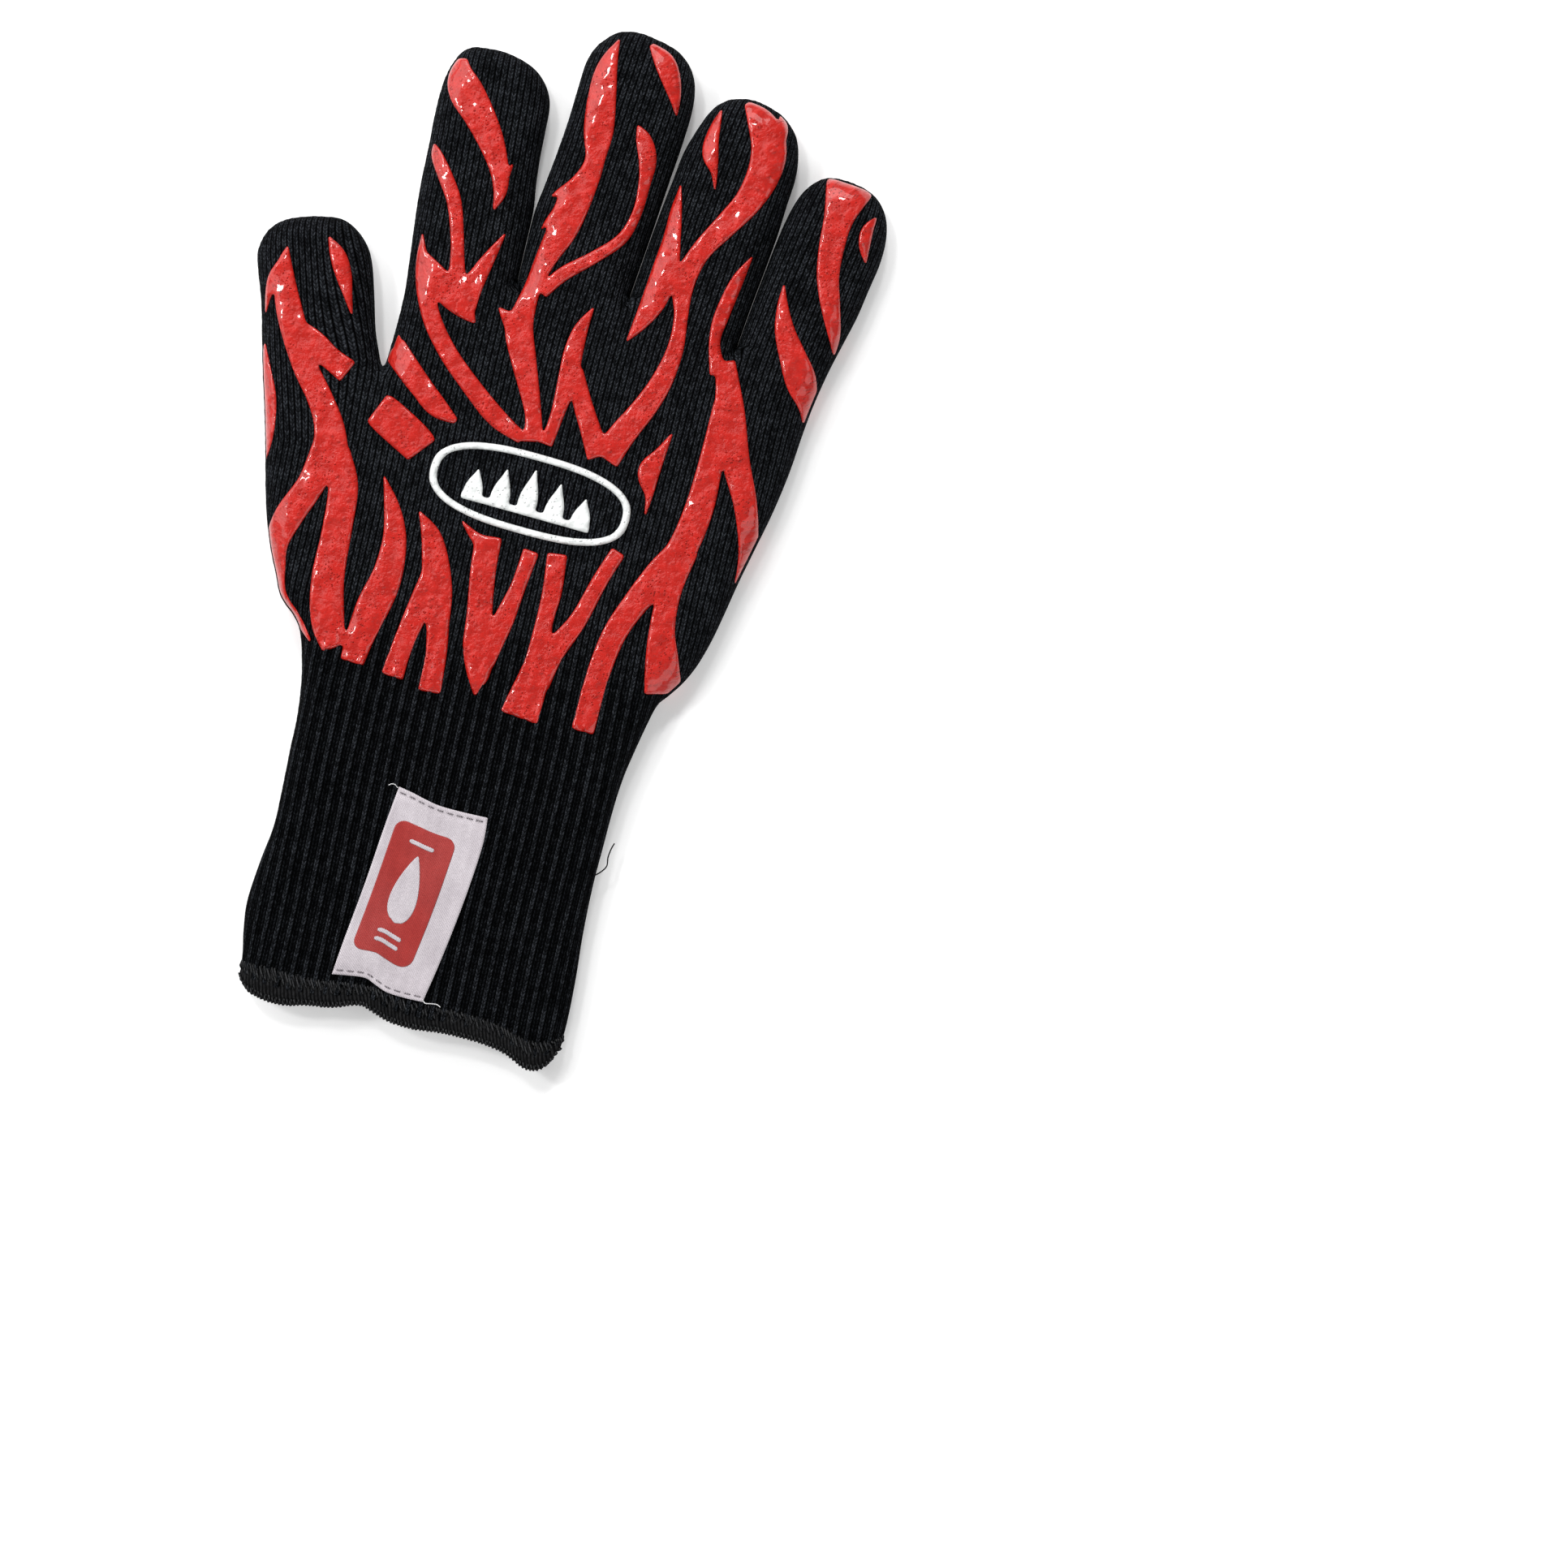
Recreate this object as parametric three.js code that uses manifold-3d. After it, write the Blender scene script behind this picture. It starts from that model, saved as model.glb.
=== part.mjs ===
// A heat resistant barbecue glove, lying flat and empty on its back, fingers along +Y, thumb at -X.
//
// It is a knitted outer shell over a knitted cotton liner, with raised silicone grip strips, a printed
// badge, an overlocked hem round the mouth and a woven label sewn to the cuff. The glove bends at the
// wrist, at the root and middle of each finger and of the thumb, so the knit is cut at those lines into
// segments. Each segment is a shell solid with a liner solid inside it.
//
// Millimetres, +Z up. All points are written in the pattern's own frame, whose Y starts a little below
// the hem, and one group at the end moves the pattern so that the origin is under the middle of the box.

import * as THREE from "three";
import Module from "manifold-3d";
import { mergeVertices } from "three/addons/utils/BufferGeometryUtils.js";

// Driving dimensions.
const THICKNESS = 17;
const EDGE_RADIUS = 7.5;
const SHELL_WALL = 2;
const LINER_WALL = 1.6;
const CLEARANCE = 0.3;
const SILICONE_THICKNESS = 1;
const PRINT_MARGIN = 2.6;
const LABEL_THICKNESS = 0.5;
const THREAD_THICKNESS = 0.7;
const HINGE_HEIGHT = 12.5;
const HINGE_GAP = 0.4;
const NOTCH_MARGIN = 1.5;
const EDGE_STEPS = 2;
const HEM_WIDTH = 8.2;
const SMALLEST_STRIP = 22;
const PRINT_LOW = 10;
const PATTERN_CENTRE = [8.7, 174.67];

// Far enough to pass every face of the glove.
const BEYOND = 400;
const BELOW = -20;
const ABOVE = THICKNESS + 12;

const LINER_INSET = SHELL_WALL + CLEARANCE;
const CAVITY_INSET = LINER_INSET + LINER_WALL;

// The flat outline, clockwise from the left side of the cuff. The cuff runs on below the hem here, and
// the hem line cuts it off. The last point of each side of a finger is where its round tip starts.
const CUFF_LEFT = [[-43.5, -40], [-44.5, 20], [-47.3, 38], [-44.6, 66], [-45, 96], [-46.6, 112]];
const CUFF_RIGHT = [[68.2, 122], [66, 108], [64.4, 92], [63.8, 66], [65, 34], [65.4, -40]];
const THUMB = {
  left: [[-50.5, 127], [-59.5, 137.6], [-66, 151], [-72, 168], [-76.2, 188], [-81.5, 207], [-87.4, 229]],
  right: [[-49.4, 233], [-46.4, 225]],
  tipCentre: [-73.2, 246.8],
  tipReach: 17.4,
  halfWidth: 19.6,
  lean: 14.8,
};
const INDEX = {
  left: [[-42, 229], [-42.6, 250], [-44.4, 274], [-45.2, 296]],
  right: [[-8.3, 297], [-6.9, 282], [-6.7, 266]],
  tipCentre: [-26.9, 311],
  tipReach: 19,
  halfWidth: 18.7,
  lean: 2.4,
};
const MIDDLE = {
  left: [[-5.7, 266], [-5.1, 284], [-2.6, 304]],
  right: [[35.9, 305], [34.2, 290], [31.9, 271]],
  tipCentre: [18.6, 326.4],
  tipReach: 19.6,
  halfWidth: 19.2,
  lean: -4.6,
};
const RING = {
  left: [[33.1, 271], [35.4, 290], [36.9, 303]],
  right: [[75.6, 303], [74.1, 287], [71.2, 262]],
  tipCentre: [57.8, 315],
  tipReach: 19,
  halfWidth: 19.6,
  lean: -6.4,
};
const LITTLE = {
  left: [[72.4, 262], [75.4, 289]],
  right: [[108.6, 282], [103.5, 258], [99.4, 239]],
  tipCentre: [93.6, 298],
  tipReach: 16.6,
  halfWidth: 16.8,
  lean: -8.5,
};
const PALM_RIGHT = [[96.4, 214], [91.4, 189], [86, 165], [81, 146], [74.4, 134.4]];
const CROTCHES = {
  thumbIndex: [-43, 219.5],
  indexMiddle: [-6.2, 257],
  middleRing: [31.4, 260],
  ringLittle: [70, 251],
};
const TIP_SHAPE = 2.6;
const TIP_ANGLES = [4, 24, 42, 58, 74, 90, 106, 122, 138, 156, 176];

// Lines in the gaps between the fingers, from a crotch outwards: they tell one finger from the next.
const GAP_LINES = {
  thumbIndex: [[-43, 219.5], [-44.4, 226], [-46, 236], [-48.6, 250], [-50, 380]],
  indexMiddle: [[-6.2, 230], [-6.2, 257], [-6.2, 266], [-6, 283], [-5, 300], [-4.6, 380]],
  middleRing: [[31.4, 230], [31.4, 260], [32.5, 271], [34.8, 290], [36.4, 304], [37.7, 318], [43, 380]],
  ringLittle: [[70, 225], [70, 251], [71.8, 262], [74.75, 288], [76.5, 303], [79, 312], [84, 380]],
};

// Hinge lines: a point on the middle of the finger, the finger's lean from +Y and the bend in degrees.
const HINGES = {
  wrist: { at: [9.6, 104], lean: 0, bend: 75 },
  thumb_root: { at: [-66, 221], lean: 14.8, bend: 55 },
  thumb_middle: { at: [-71.9, 243.6], lean: 14.8, bend: 75 },
  index_root: { at: [-24.8, 267], lean: 2.7, bend: 85 },
  index_middle: { at: [-26.2, 296], lean: 2.7, bend: 90 },
  middle_root: { at: [13.2, 271], lean: -5.1, bend: 85 },
  middle_middle: { at: [16.4, 306], lean: -5.1, bend: 90 },
  ring_root: { at: [52, 271], lean: -6.8, bend: 85 },
  ring_middle: { at: [55.6, 301], lean: -6.8, bend: 90 },
  little_root: { at: [87.4, 263], lean: -10, bend: 85 },
  little_middle: { at: [91.8, 288], lean: -10, bend: 90 },
};

// The hem's upper edge, left to right, with its soft waves, and the cuff's sides there, where the hem's
// lower corners are cut off.
const HEM_LINE = [
  [-60, 14.4], [-44, 14.6], [-26, 15.4], [-8, 17], [2, 17],
  [10, 15.6], [34, 15.4], [50, 12], [62, 11.6], [80, 12],
];
const HEM_CORNER = 5.5;
const HEM_SIDES = [[-43.9, 14.6], [65.2, 11.6]];

// Grip strips. Each blade is one tongue of a flame: its middle line as [x, y, width]. The blades of a
// strip run together into one piece of silicone. A blade that runs off the glove ends at the margin.
const STRIPS = {
  index_tip: [
    [
      [-18.3, 277.4, 0.8], [-17.6, 284, 4.6], [-19.6, 291, 6.4], [-24.4, 299.6, 8.8], [-30.4, 307.4, 10.6],
      [-36, 313.6, 11.6], [-39.2, 318.6, 8.6], [-40, 324.6, 3],
    ],
    [[-18, 286, 3.4], [-16.8, 290, 2.4], [-15.4, 294, 0.5]],
  ],
  centre: [
    [
      [-43, 295, 0.6], [-41, 291.2, 4], [-36.6, 285, 5], [-31.8, 277.4, 5], [-28.6, 268, 4.6],
      [-26.4, 259, 4.8], [-24.4, 249, 7],
    ],
    [[-18.6, 243, 4], [-20, 249, 7.4], [-18.2, 256, 6], [-15.8, 263, 3.8], [-12.8, 271, 0.5]],
    [[-38, 258.6, 2], [-33, 252.8, 7], [-27, 247.6, 8.8], [-21, 243.6, 6.6], [-15.8, 239.6, 0.8]],
    [
      [-39.8, 265, 0.5], [-37.8, 256, 4.4], [-34.6, 247, 6.2], [-29.6, 237, 6.2], [-22, 227.6, 6.2],
      [-12, 218.6, 6.4], [-2, 210.8, 6.6], [8, 205.8, 4],
    ],
    [
      [11.6, 205.6, 7], [9.8, 214, 5.6], [6.2, 223, 7], [1.8, 233, 8.8], [-1.2, 241, 9.4], [-0.8, 249, 7],
      [0.2, 257, 6], [2.2, 266, 7.4], [5.2, 276, 10], [7, 286, 11], [10, 296, 7.6], [10.6, 302, 6.8],
      [9.6, 311, 10], [8.2, 322, 9.6], [7.6, 332, 7], [9.4, 342.6, 0.5],
    ],
    [[-9.6, 246.6, 0.5], [-5.4, 243.4, 4.6], [0, 239, 8]],
    [[-1, 286.2, 0.5], [2, 288.4, 3], [6, 291, 5]],
    [[-1.8, 274.8, 0.5], [0.4, 278.6, 2.6], [4, 283, 5]],
    [
      [3.4, 254, 4], [8.6, 261.6, 4.8], [18, 270, 4.2], [25, 277.6, 3.8], [28, 287, 3.2], [28.3, 297, 4],
      [27.6, 305, 6], [25, 311, 5.4], [21.8, 315.6, 0.6],
    ],
    [
      [16, 205.6, 4.4], [17.4, 216, 4.6], [18.2, 228, 6.6], [18, 238, 6.4], [18.8, 246, 4.6],
      [21.3, 253.8, 0.5],
    ],
    [[34, 205.6, 8], [29.4, 213.6, 7], [24.6, 222, 6.4], [20, 232, 5]],
    [
      [36, 205.4, 10], [40, 215, 9], [45, 225, 8.2], [48.6, 234.6, 7.2], [50.6, 246, 5.6], [50, 257, 4.8],
      [48.4, 268, 7.4], [51.4, 279, 6.8], [57.6, 289.6, 8], [63, 299, 9.2], [66, 309, 11],
      [65.8, 318, 11.8], [61.6, 325.8, 9.6], [55.2, 331.4, 2],
    ],
    [[67.4, 319, 6], [68.6, 325.6, 4], [66.8, 331.4, 0.6]],
    [
      [34.2, 244.8, 0.5], [37.4, 252, 5], [40.2, 261, 8.6], [41.4, 272, 8.6], [41.2, 282, 6],
      [40.5, 291, 4], [40, 300, 0.5],
    ],
  ],
  middle_tip: [
    [[33.6, 321.4, 0.5], [31.8, 327, 3.8], [29, 333, 6.6], [25.4, 338.4, 6.8], [20, 343, 1.8]],
  ],
  ring_tip: [
    [
      [51.6, 300, 0.5], [50, 306, 2.4], [47.6, 311, 5.4], [46.7, 316, 5], [47, 322, 3.2],
      [47.6, 327.4, 0.6],
    ],
  ],
  ring_side: [
    [[68.6, 282, 0.5], [65.4, 272.4, 4.2], [63, 260, 5], [62.8, 251, 3.8], [66.4, 241, 6]],
    [
      [67.4, 246, 7], [70, 239, 8], [73.2, 229, 10], [78.4, 214.6, 9.4], [84.4, 202, 8], [88.2, 190, 6.6],
      [88.8, 179, 4], [86.3, 167, 0.5],
    ],
    [
      [70.4, 232, 7], [70.5, 214, 8], [70.2, 197, 9.6], [67.6, 182, 10], [62.6, 172.4, 10.4],
      [56.6, 161, 8.6], [52, 149, 8], [49.8, 134, 7.8], [49.1, 115.8, 7.8],
    ],
    [[68.4, 182, 9.6], [66.8, 168, 8], [67.2, 155, 8.6], [69.4, 145, 11], [72.2, 134, 12.6]],
  ],
  little_tip: [
    [
      [102.2, 256.2, 0.6], [100.6, 263, 4.4], [97.4, 271.6, 6.6], [94.4, 281, 7.6], [93.4, 291, 8.6],
      [93.6, 301, 10.2], [94.8, 313, 16.4],
    ],
  ],
  little_side: [
    [[105.7, 304, 0.6], [103.7, 298.6, 4], [103.9, 293.4, 3.8], [105.6, 288, 0.6]],
  ],
  little_root: [
    [
      [80.8, 275.4, 0.5], [82, 268, 3.8], [84.6, 260, 6.8], [89, 252.4, 9], [93.6, 245, 10.4],
      [97, 237.6, 5.4], [98, 230.6, 0.6],
    ],
  ],
  badge_side: [
    [[56, 218.8, 0.6], [53.4, 211, 4.2], [51.2, 204.4, 7.4], [53, 197, 2.8], [53.2, 190, 0.6]],
  ],
  palm_edge_upper: [
    [[-40.8, 226, 8.6], [-34, 219.8, 8.2], [-28, 214.6, 7.6], [-22, 209.8, 7], [-14.6, 206.4, 2]],
    [[-40.2, 230.8, 0.5], [-39, 226, 4]],
  ],
  palm_edge_lower: [
    [[-41.2, 205, 9.6], [-38, 203.4, 12.4], [-27, 197.2, 12.4], [-23.6, 194.6, 11]],
  ],
  thumb_tip: [
    [[-56.2, 233, 0.6], [-59.4, 240, 3.4], [-62.2, 246, 5.6], [-65.4, 251.6, 5.2], [-69.6, 256.8, 0.6]],
  ],
  thumb: [
    [
      [-82, 250.6, 0.6], [-81.6, 244, 5.2], [-79.4, 236, 8], [-75, 226.4, 9], [-68, 213.8, 8.4],
      [-60.4, 204, 8.6], [-55.2, 195.4, 10], [-52.6, 186, 12.6],
    ],
    [[-84.7, 227.4, 0.5], [-85, 233, 2.4], [-84.3, 239, 4.4], [-82.4, 244, 4]],
    [[-76, 225.4, 7], [-67, 221.4, 8.6], [-60, 217.6, 7.6], [-53.2, 214.4, 8.4]],
    [
      [-54, 187, 11], [-57, 175, 9.4], [-62, 163, 9.8], [-64, 154, 8.6], [-62, 146.6, 6],
      [-58.6, 138, 3.4], [-51.6, 131, 2.8], [-45.6, 124.8, 1],
    ],
    [
      [-51, 188, 9], [-46.2, 177, 10], [-45, 162, 10], [-44.4, 147, 11], [-41.4, 133, 11.4],
      [-36.8, 124.6, 9],
    ],
    [
      [-34, 183.8, 0.5], [-29, 174, 5.4], [-25.8, 164, 8], [-25.4, 152, 10], [-27.6, 141, 11.2],
      [-29.6, 130, 9.4], [-30.4, 121, 8],
    ],
  ],
  thumb_side: [
    [[-83, 218, 0.8], [-80.4, 209, 4], [-78, 200, 7], [-76, 190, 6.4], [-74.8, 183, 3], [-74.8, 178, 0.5]],
  ],
  heel_left: [
    [
      [-20, 175, 0.5], [-14.4, 168, 6.4], [-11, 160, 9], [-8, 150, 10], [-5.6, 140, 7.8], [-3.9, 130, 7.2],
      [-3.2, 117.2, 7.8],
    ],
    [[-11.4, 156, 6], [-12, 148, 8], [-14, 138, 7.4], [-15.6, 128, 7], [-16.4, 119.4, 7.8]],
  ],
  heel_centre: [
    [
      [4.4, 172, 9], [5.2, 160, 8.6], [7.2, 146, 8.6], [9.4, 135.4, 10.6], [11.2, 127, 7.6],
      [11.7, 119.4, 0.6],
    ],
    [[5.4, 167.4, 6], [-1, 171.4, 3], [-5.6, 175, 0.5]],
    [[19.2, 170.4, 5.6], [17.6, 158, 5.2], [15.2, 145, 7], [12.6, 131, 6.4]],
  ],
  heel_right: [
    [[27.8, 171.4, 6.8], [28.9, 159, 6.6], [28.7, 147, 6], [29.6, 133, 9.6], [27.6, 115.6, 13.4]],
    [[47.4, 176.6, 5.2], [43.6, 166, 5.4], [39.4, 151.4, 6], [33.4, 138.6, 8], [30.6, 128, 9]],
  ],
};

// The printed badge: an oval ring with a plain fire sign, a row of pointed drops rising from a bar.
const BADGE = { centre: [14.5, 188.6], halfWidth: 34, halfHeight: 13.6, shape: 2.6, stroke: 2.4, turn: -2.6 };
const FIRE_SIGN = {
  halfWidth: 23,
  bottom: -7.4,
  barHeight: 2.2,
  drops: [11, 13.6, 16, 13.6, 11],
  dropWidth: 6.6,
};

// The woven label, as its corners in the pattern's frame.
const LABEL = {
  corners: [[-6, 84.5], [25, 81], [22, 46], [17.5, 16.6], [-14, 18.9]],
  seamInset: 1.6,
  seamWidth: 0.8,
};

const FABRIC = { color: 0x15181b, roughness: 0.95, metalness: 0 };
const COTTON = { color: 0xb9b2a4, roughness: 0.98, metalness: 0 };
const BINDING = { color: 0x0f1113, roughness: 0.9, metalness: 0 };
const SILICONE = { color: 0xc4261d, roughness: 0.35, metalness: 0 };
const BADGE_PRINT = { color: 0xe9e6e4, roughness: 0.6, metalness: 0 };
const SATIN = { color: 0xe6e0e8, roughness: 0.5, metalness: 0 };

const wasm = await Module();
wasm.setup();

const radians = THREE.MathUtils.degToRad;

// A closed geometry as a solid for cutting and joining.
function solidOf(geometry) {
  geometry.deleteAttribute("normal");
  geometry.deleteAttribute("uv");
  const merged = mergeVertices(geometry, 1e-4);
  return new wasm.Manifold(
    new wasm.Mesh({
      numProp: 3,
      vertProperties: merged.getAttribute("position").array,
      triVerts: new Uint32Array(merged.index.array),
    }),
  );
}

// A solid as a named mesh.
function meshOf(solid, name, finish) {
  const made = solid.getMesh();
  const geometry = new THREE.BufferGeometry();
  geometry.setAttribute("position", new THREE.BufferAttribute(new Float32Array(made.vertProperties), 3));
  geometry.setIndex(new THREE.BufferAttribute(new Uint32Array(made.triVerts), 1));
  geometry.computeVertexNormals();
  const mesh = new THREE.Mesh(geometry, new THREE.MeshStandardMaterial(finish));
  mesh.name = name;
  return mesh;
}

// The flat shape of a list of points.
function shapeOf(points) {
  return new THREE.Shape(points.map(([x, y]) => new THREE.Vector2(x, y)));
}

// An upright prism over a flat outline.
function prism(points, low, high) {
  const geometry = new THREE.ExtrudeGeometry(shapeOf(points), { depth: high - low, bevelEnabled: false });
  geometry.translate(0, 0, low);
  return solidOf(geometry);
}

// The round end of a finger, from its left side over the tip to its right side.
function fingerTip(finger) {
  const lean = radians(finger.lean);
  const power = 2 / TIP_SHAPE;
  return TIP_ANGLES.map((degrees) => {
    const angle = radians(180 - degrees);
    const cosine = Math.cos(angle);
    const across = finger.halfWidth * Math.sign(cosine) * Math.abs(cosine) ** power;
    const along = finger.tipReach * Math.sin(angle) ** power;
    return [
      finger.tipCentre[0] + across * Math.cos(lean) - along * Math.sin(lean),
      finger.tipCentre[1] + across * Math.sin(lean) + along * Math.cos(lean),
    ];
  });
}

function fingerSide(finger) {
  return [...finger.left, ...fingerTip(finger), ...finger.right];
}

const GLOVE_OUTLINE = [
  ...CUFF_LEFT,
  ...fingerSide(THUMB),
  CROTCHES.thumbIndex,
  ...fingerSide(INDEX),
  CROTCHES.indexMiddle,
  ...fingerSide(MIDDLE),
  CROTCHES.middleRing,
  ...fingerSide(RING),
  CROTCHES.ringLittle,
  ...fingerSide(LITTLE),
  ...PALM_RIGHT,
  ...CUFF_RIGHT,
];

// The whole glove as a solid pillow with round edges, its surface moved inwards by inset.
function pillow(inset) {
  const radius = EDGE_RADIUS - inset;
  const geometry = new THREE.ExtrudeGeometry(shapeOf(GLOVE_OUTLINE), {
    depth: THICKNESS - 2 * EDGE_RADIUS,
    bevelThickness: radius,
    bevelSize: radius,
    bevelOffset: -EDGE_RADIUS,
    bevelSegments: EDGE_STEPS,
  });
  geometry.translate(0, 0, EDGE_RADIUS);
  return solidOf(geometry);
}

// Everything beyond a hinge line, as seen from the cuff. Above the hinge's height the face leans back,
// so that the two segments leave a notch for the bend. Side is -1 for the near face, 1 for the far face.
function beyondHinge(hinge, side) {
  const face = (side * HINGE_GAP) / 2;
  const opening = Math.tan(radians(hinge.bend / 2 + NOTCH_MARGIN)) * (ABOVE - HINGE_HEIGHT);
  const section = [
    [face, BELOW],
    [BEYOND, BELOW],
    [BEYOND, ABOVE],
    [face + side * opening, ABOVE],
    [face, HINGE_HEIGHT],
  ];
  const geometry = new THREE.ExtrudeGeometry(shapeOf(section), { depth: 2 * BEYOND, bevelEnabled: false });
  geometry.translate(0, 0, -BEYOND);
  const lean = radians(hinge.lean);
  const along = new THREE.Vector3(-Math.sin(lean), Math.cos(lean), 0);
  const up = new THREE.Vector3(0, 0, 1);
  const place = new THREE.Matrix4().makeBasis(along, up, along.clone().cross(up));
  place.setPosition(hinge.at[0], hinge.at[1], 0);
  geometry.applyMatrix4(place);
  return solidOf(geometry);
}

// The ground that one finger has to itself, between the gap lines at its two sides.
function lane(leftLine, rightLine) {
  return prism([...leftLine, ...rightLine.toReversed()], BELOW, ABOVE);
}

const LANES = {
  thumb: lane([[-140, 180], [-140, 380]], GAP_LINES.thumbIndex),
  index: lane(GAP_LINES.thumbIndex, GAP_LINES.indexMiddle),
  middle: lane(GAP_LINES.indexMiddle, GAP_LINES.middleRing),
  ring: lane(GAP_LINES.middleRing, GAP_LINES.ringLittle),
  little: lane(GAP_LINES.ringLittle, [[140, 225], [140, 380]]),
};

// A block that holds the whole glove above a height.
function everything(low) {
  return prism([[-BEYOND, -BEYOND], [BEYOND, -BEYOND], [BEYOND, BEYOND], [-BEYOND, BEYOND]], low, ABOVE);
}

// The space of each segment: cuff, palm, and the root and tip of each finger.
function segmentSpaces() {
  const spaces = {};
  const whole = everything(BELOW);
  spaces.cuff = whole.subtract(beyondHinge(HINGES.wrist, -1));
  spaces.palm = whole.intersect(beyondHinge(HINGES.wrist, 1));
  for (const [finger, own] of Object.entries(LANES)) {
    const root = HINGES[finger + "_root"];
    const middle = HINGES[finger + "_middle"];
    spaces.palm = spaces.palm.subtract(own.intersect(beyondHinge(root, -1)));
    spaces[finger + "_base"] = own.intersect(beyondHinge(root, 1)).subtract(beyondHinge(middle, -1));
    spaces[finger + "_tip"] = own.intersect(beyondHinge(middle, 1));
  }
  return spaces;
}

// All that lies above a line across the cuff, at a distance below the hem's upper edge.
function aboveHemLine(drop) {
  const line = HEM_LINE.map(([x, y]) => [x, y - drop]);
  return prism([...line, [BEYOND, BEYOND], [-BEYOND, BEYOND]], BELOW, ABOVE);
}

// The ground the hem may take up, whose lower corners are cut off at a slant.
function hemGround() {
  const [[left, leftTop], [right, rightTop]] = HEM_SIDES;
  const waves = 3;
  const spare = 1;
  return [
    [left + HEM_CORNER, leftTop - HEM_WIDTH - waves],
    [left - spare, leftTop - HEM_WIDTH + HEM_CORNER],
    [left - spare, leftTop + HEM_WIDTH],
    [right + spare, leftTop + HEM_WIDTH],
    [right + spare, rightTop - HEM_WIDTH + HEM_CORNER],
    [right - HEM_CORNER, rightTop - HEM_WIDTH - waves],
  ];
}

// The overlocked band that closes the edge of the mouth, round both layers of the cuff.
function hemBand(outer, cavity) {
  return outer
    .subtract(cavity)
    .intersect(aboveHemLine(HEM_WIDTH))
    .subtract(aboveHemLine(0))
    .intersect(prism(hemGround(), BELOW, ABOVE));
}

// The outline of one blade: points along both sides of its middle line.
function bladeOutline(blade) {
  const left = [];
  const right = [];
  blade.forEach(([x, y, width], i) => {
    const before = blade[Math.max(i - 1, 0)];
    const after = blade[Math.min(i + 1, blade.length - 1)];
    const along = new THREE.Vector2(after[0] - before[0], after[1] - before[1]).normalize();
    left.push([x - (along.y * width) / 2, y + (along.x * width) / 2]);
    right.push([x + (along.y * width) / 2, y - (along.x * width) / 2]);
  });
  return [...left, ...right.toReversed()];
}

// The printable ground, a margin inside the glove's own edge. Its bevels lie below and above the print.
function printableGround() {
  const bevel = 1;
  const geometry = new THREE.ExtrudeGeometry(shapeOf(GLOVE_OUTLINE), {
    depth: ABOVE,
    bevelThickness: bevel,
    bevelSize: bevel,
    bevelOffset: -bevel - PRINT_MARGIN,
    bevelSegments: 1,
  });
  return solidOf(geometry);
}

// The layer that silicone takes up on the glove's upper face.
function siliconeLayer() {
  const outside = pillow(-CLEARANCE - SILICONE_THICKNESS);
  const inside = pillow(-CLEARANCE);
  return outside.subtract(inside).intersect(everything(PRINT_LOW)).intersect(printableGround());
}

function stripMeshes(spaces) {
  const layer = siliconeLayer();
  const meshes = [];
  for (const [strip, blades] of Object.entries(STRIPS)) {
    const flames = blades.map((blade) => prism(bladeOutline(blade), PRINT_LOW / 2, ABOVE));
    const print = flames.reduce((sum, flame) => sum.add(flame)).intersect(layer);
    for (const [segment, space] of Object.entries(spaces)) {
      const pieces = print
        .intersect(space)
        .decompose()
        .filter((piece) => piece.volume() > SMALLEST_STRIP);
      pieces.forEach((piece, i) => {
        const copy = pieces.length > 1 ? "_" + (i + 1) : "";
        meshes.push(meshOf(piece, "grip_" + strip + "_on_" + segment + copy, SILICONE));
      });
    }
  }
  return meshes;
}

// A flat layer of print or cloth lying just above the glove's upper face.
function layerOnTop(points, thickness, gap = CLEARANCE) {
  return prism(points, THICKNESS + gap, THICKNESS + gap + thickness);
}

function badgePoint(across, up) {
  const turn = radians(BADGE.turn);
  return [
    BADGE.centre[0] + across * Math.cos(turn) - up * Math.sin(turn),
    BADGE.centre[1] + across * Math.sin(turn) + up * Math.cos(turn),
  ];
}

function oval(halfWidth, halfHeight) {
  const points = [];
  for (let degrees = 0; degrees < 360; degrees += 15) {
    const angle = radians(degrees);
    const power = 2 / BADGE.shape;
    const across = halfWidth * Math.sign(Math.cos(angle)) * Math.abs(Math.cos(angle)) ** power;
    const up = halfHeight * Math.sign(Math.sin(angle)) * Math.abs(Math.sin(angle)) ** power;
    points.push(badgePoint(across, up));
  }
  return points;
}

function badgeRing() {
  const outside = layerOnTop(oval(BADGE.halfWidth, BADGE.halfHeight), SILICONE_THICKNESS);
  const inside = oval(BADGE.halfWidth - BADGE.stroke, BADGE.halfHeight - BADGE.stroke);
  return outside.subtract(prism(inside, 0, ABOVE));
}

function fireSign() {
  const { halfWidth, bottom, barHeight, drops, dropWidth } = FIRE_SIGN;
  const barTop = bottom + barHeight;
  const bar = [[-halfWidth, bottom], [halfWidth, bottom], [halfWidth, barTop], [-halfWidth, barTop]];
  let sign = layerOnTop(bar.map(([x, y]) => badgePoint(x, y)), SILICONE_THICKNESS);
  drops.forEach((height, i) => {
    const middle = ((i + 0.5) / drops.length - 0.5) * 2 * halfWidth;
    const drop = [
      [middle, bottom + 0.5, dropWidth * 0.7],
      [middle, bottom + 0.3 * height, dropWidth],
      [middle, bottom + 0.6 * height, dropWidth * 0.62],
      [middle, bottom + height, 0.5],
    ];
    const outline = bladeOutline(drop).map(([x, y]) => badgePoint(x, y));
    sign = sign.add(layerOnTop(outline, SILICONE_THICKNESS));
  });
  return sign;
}

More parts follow.
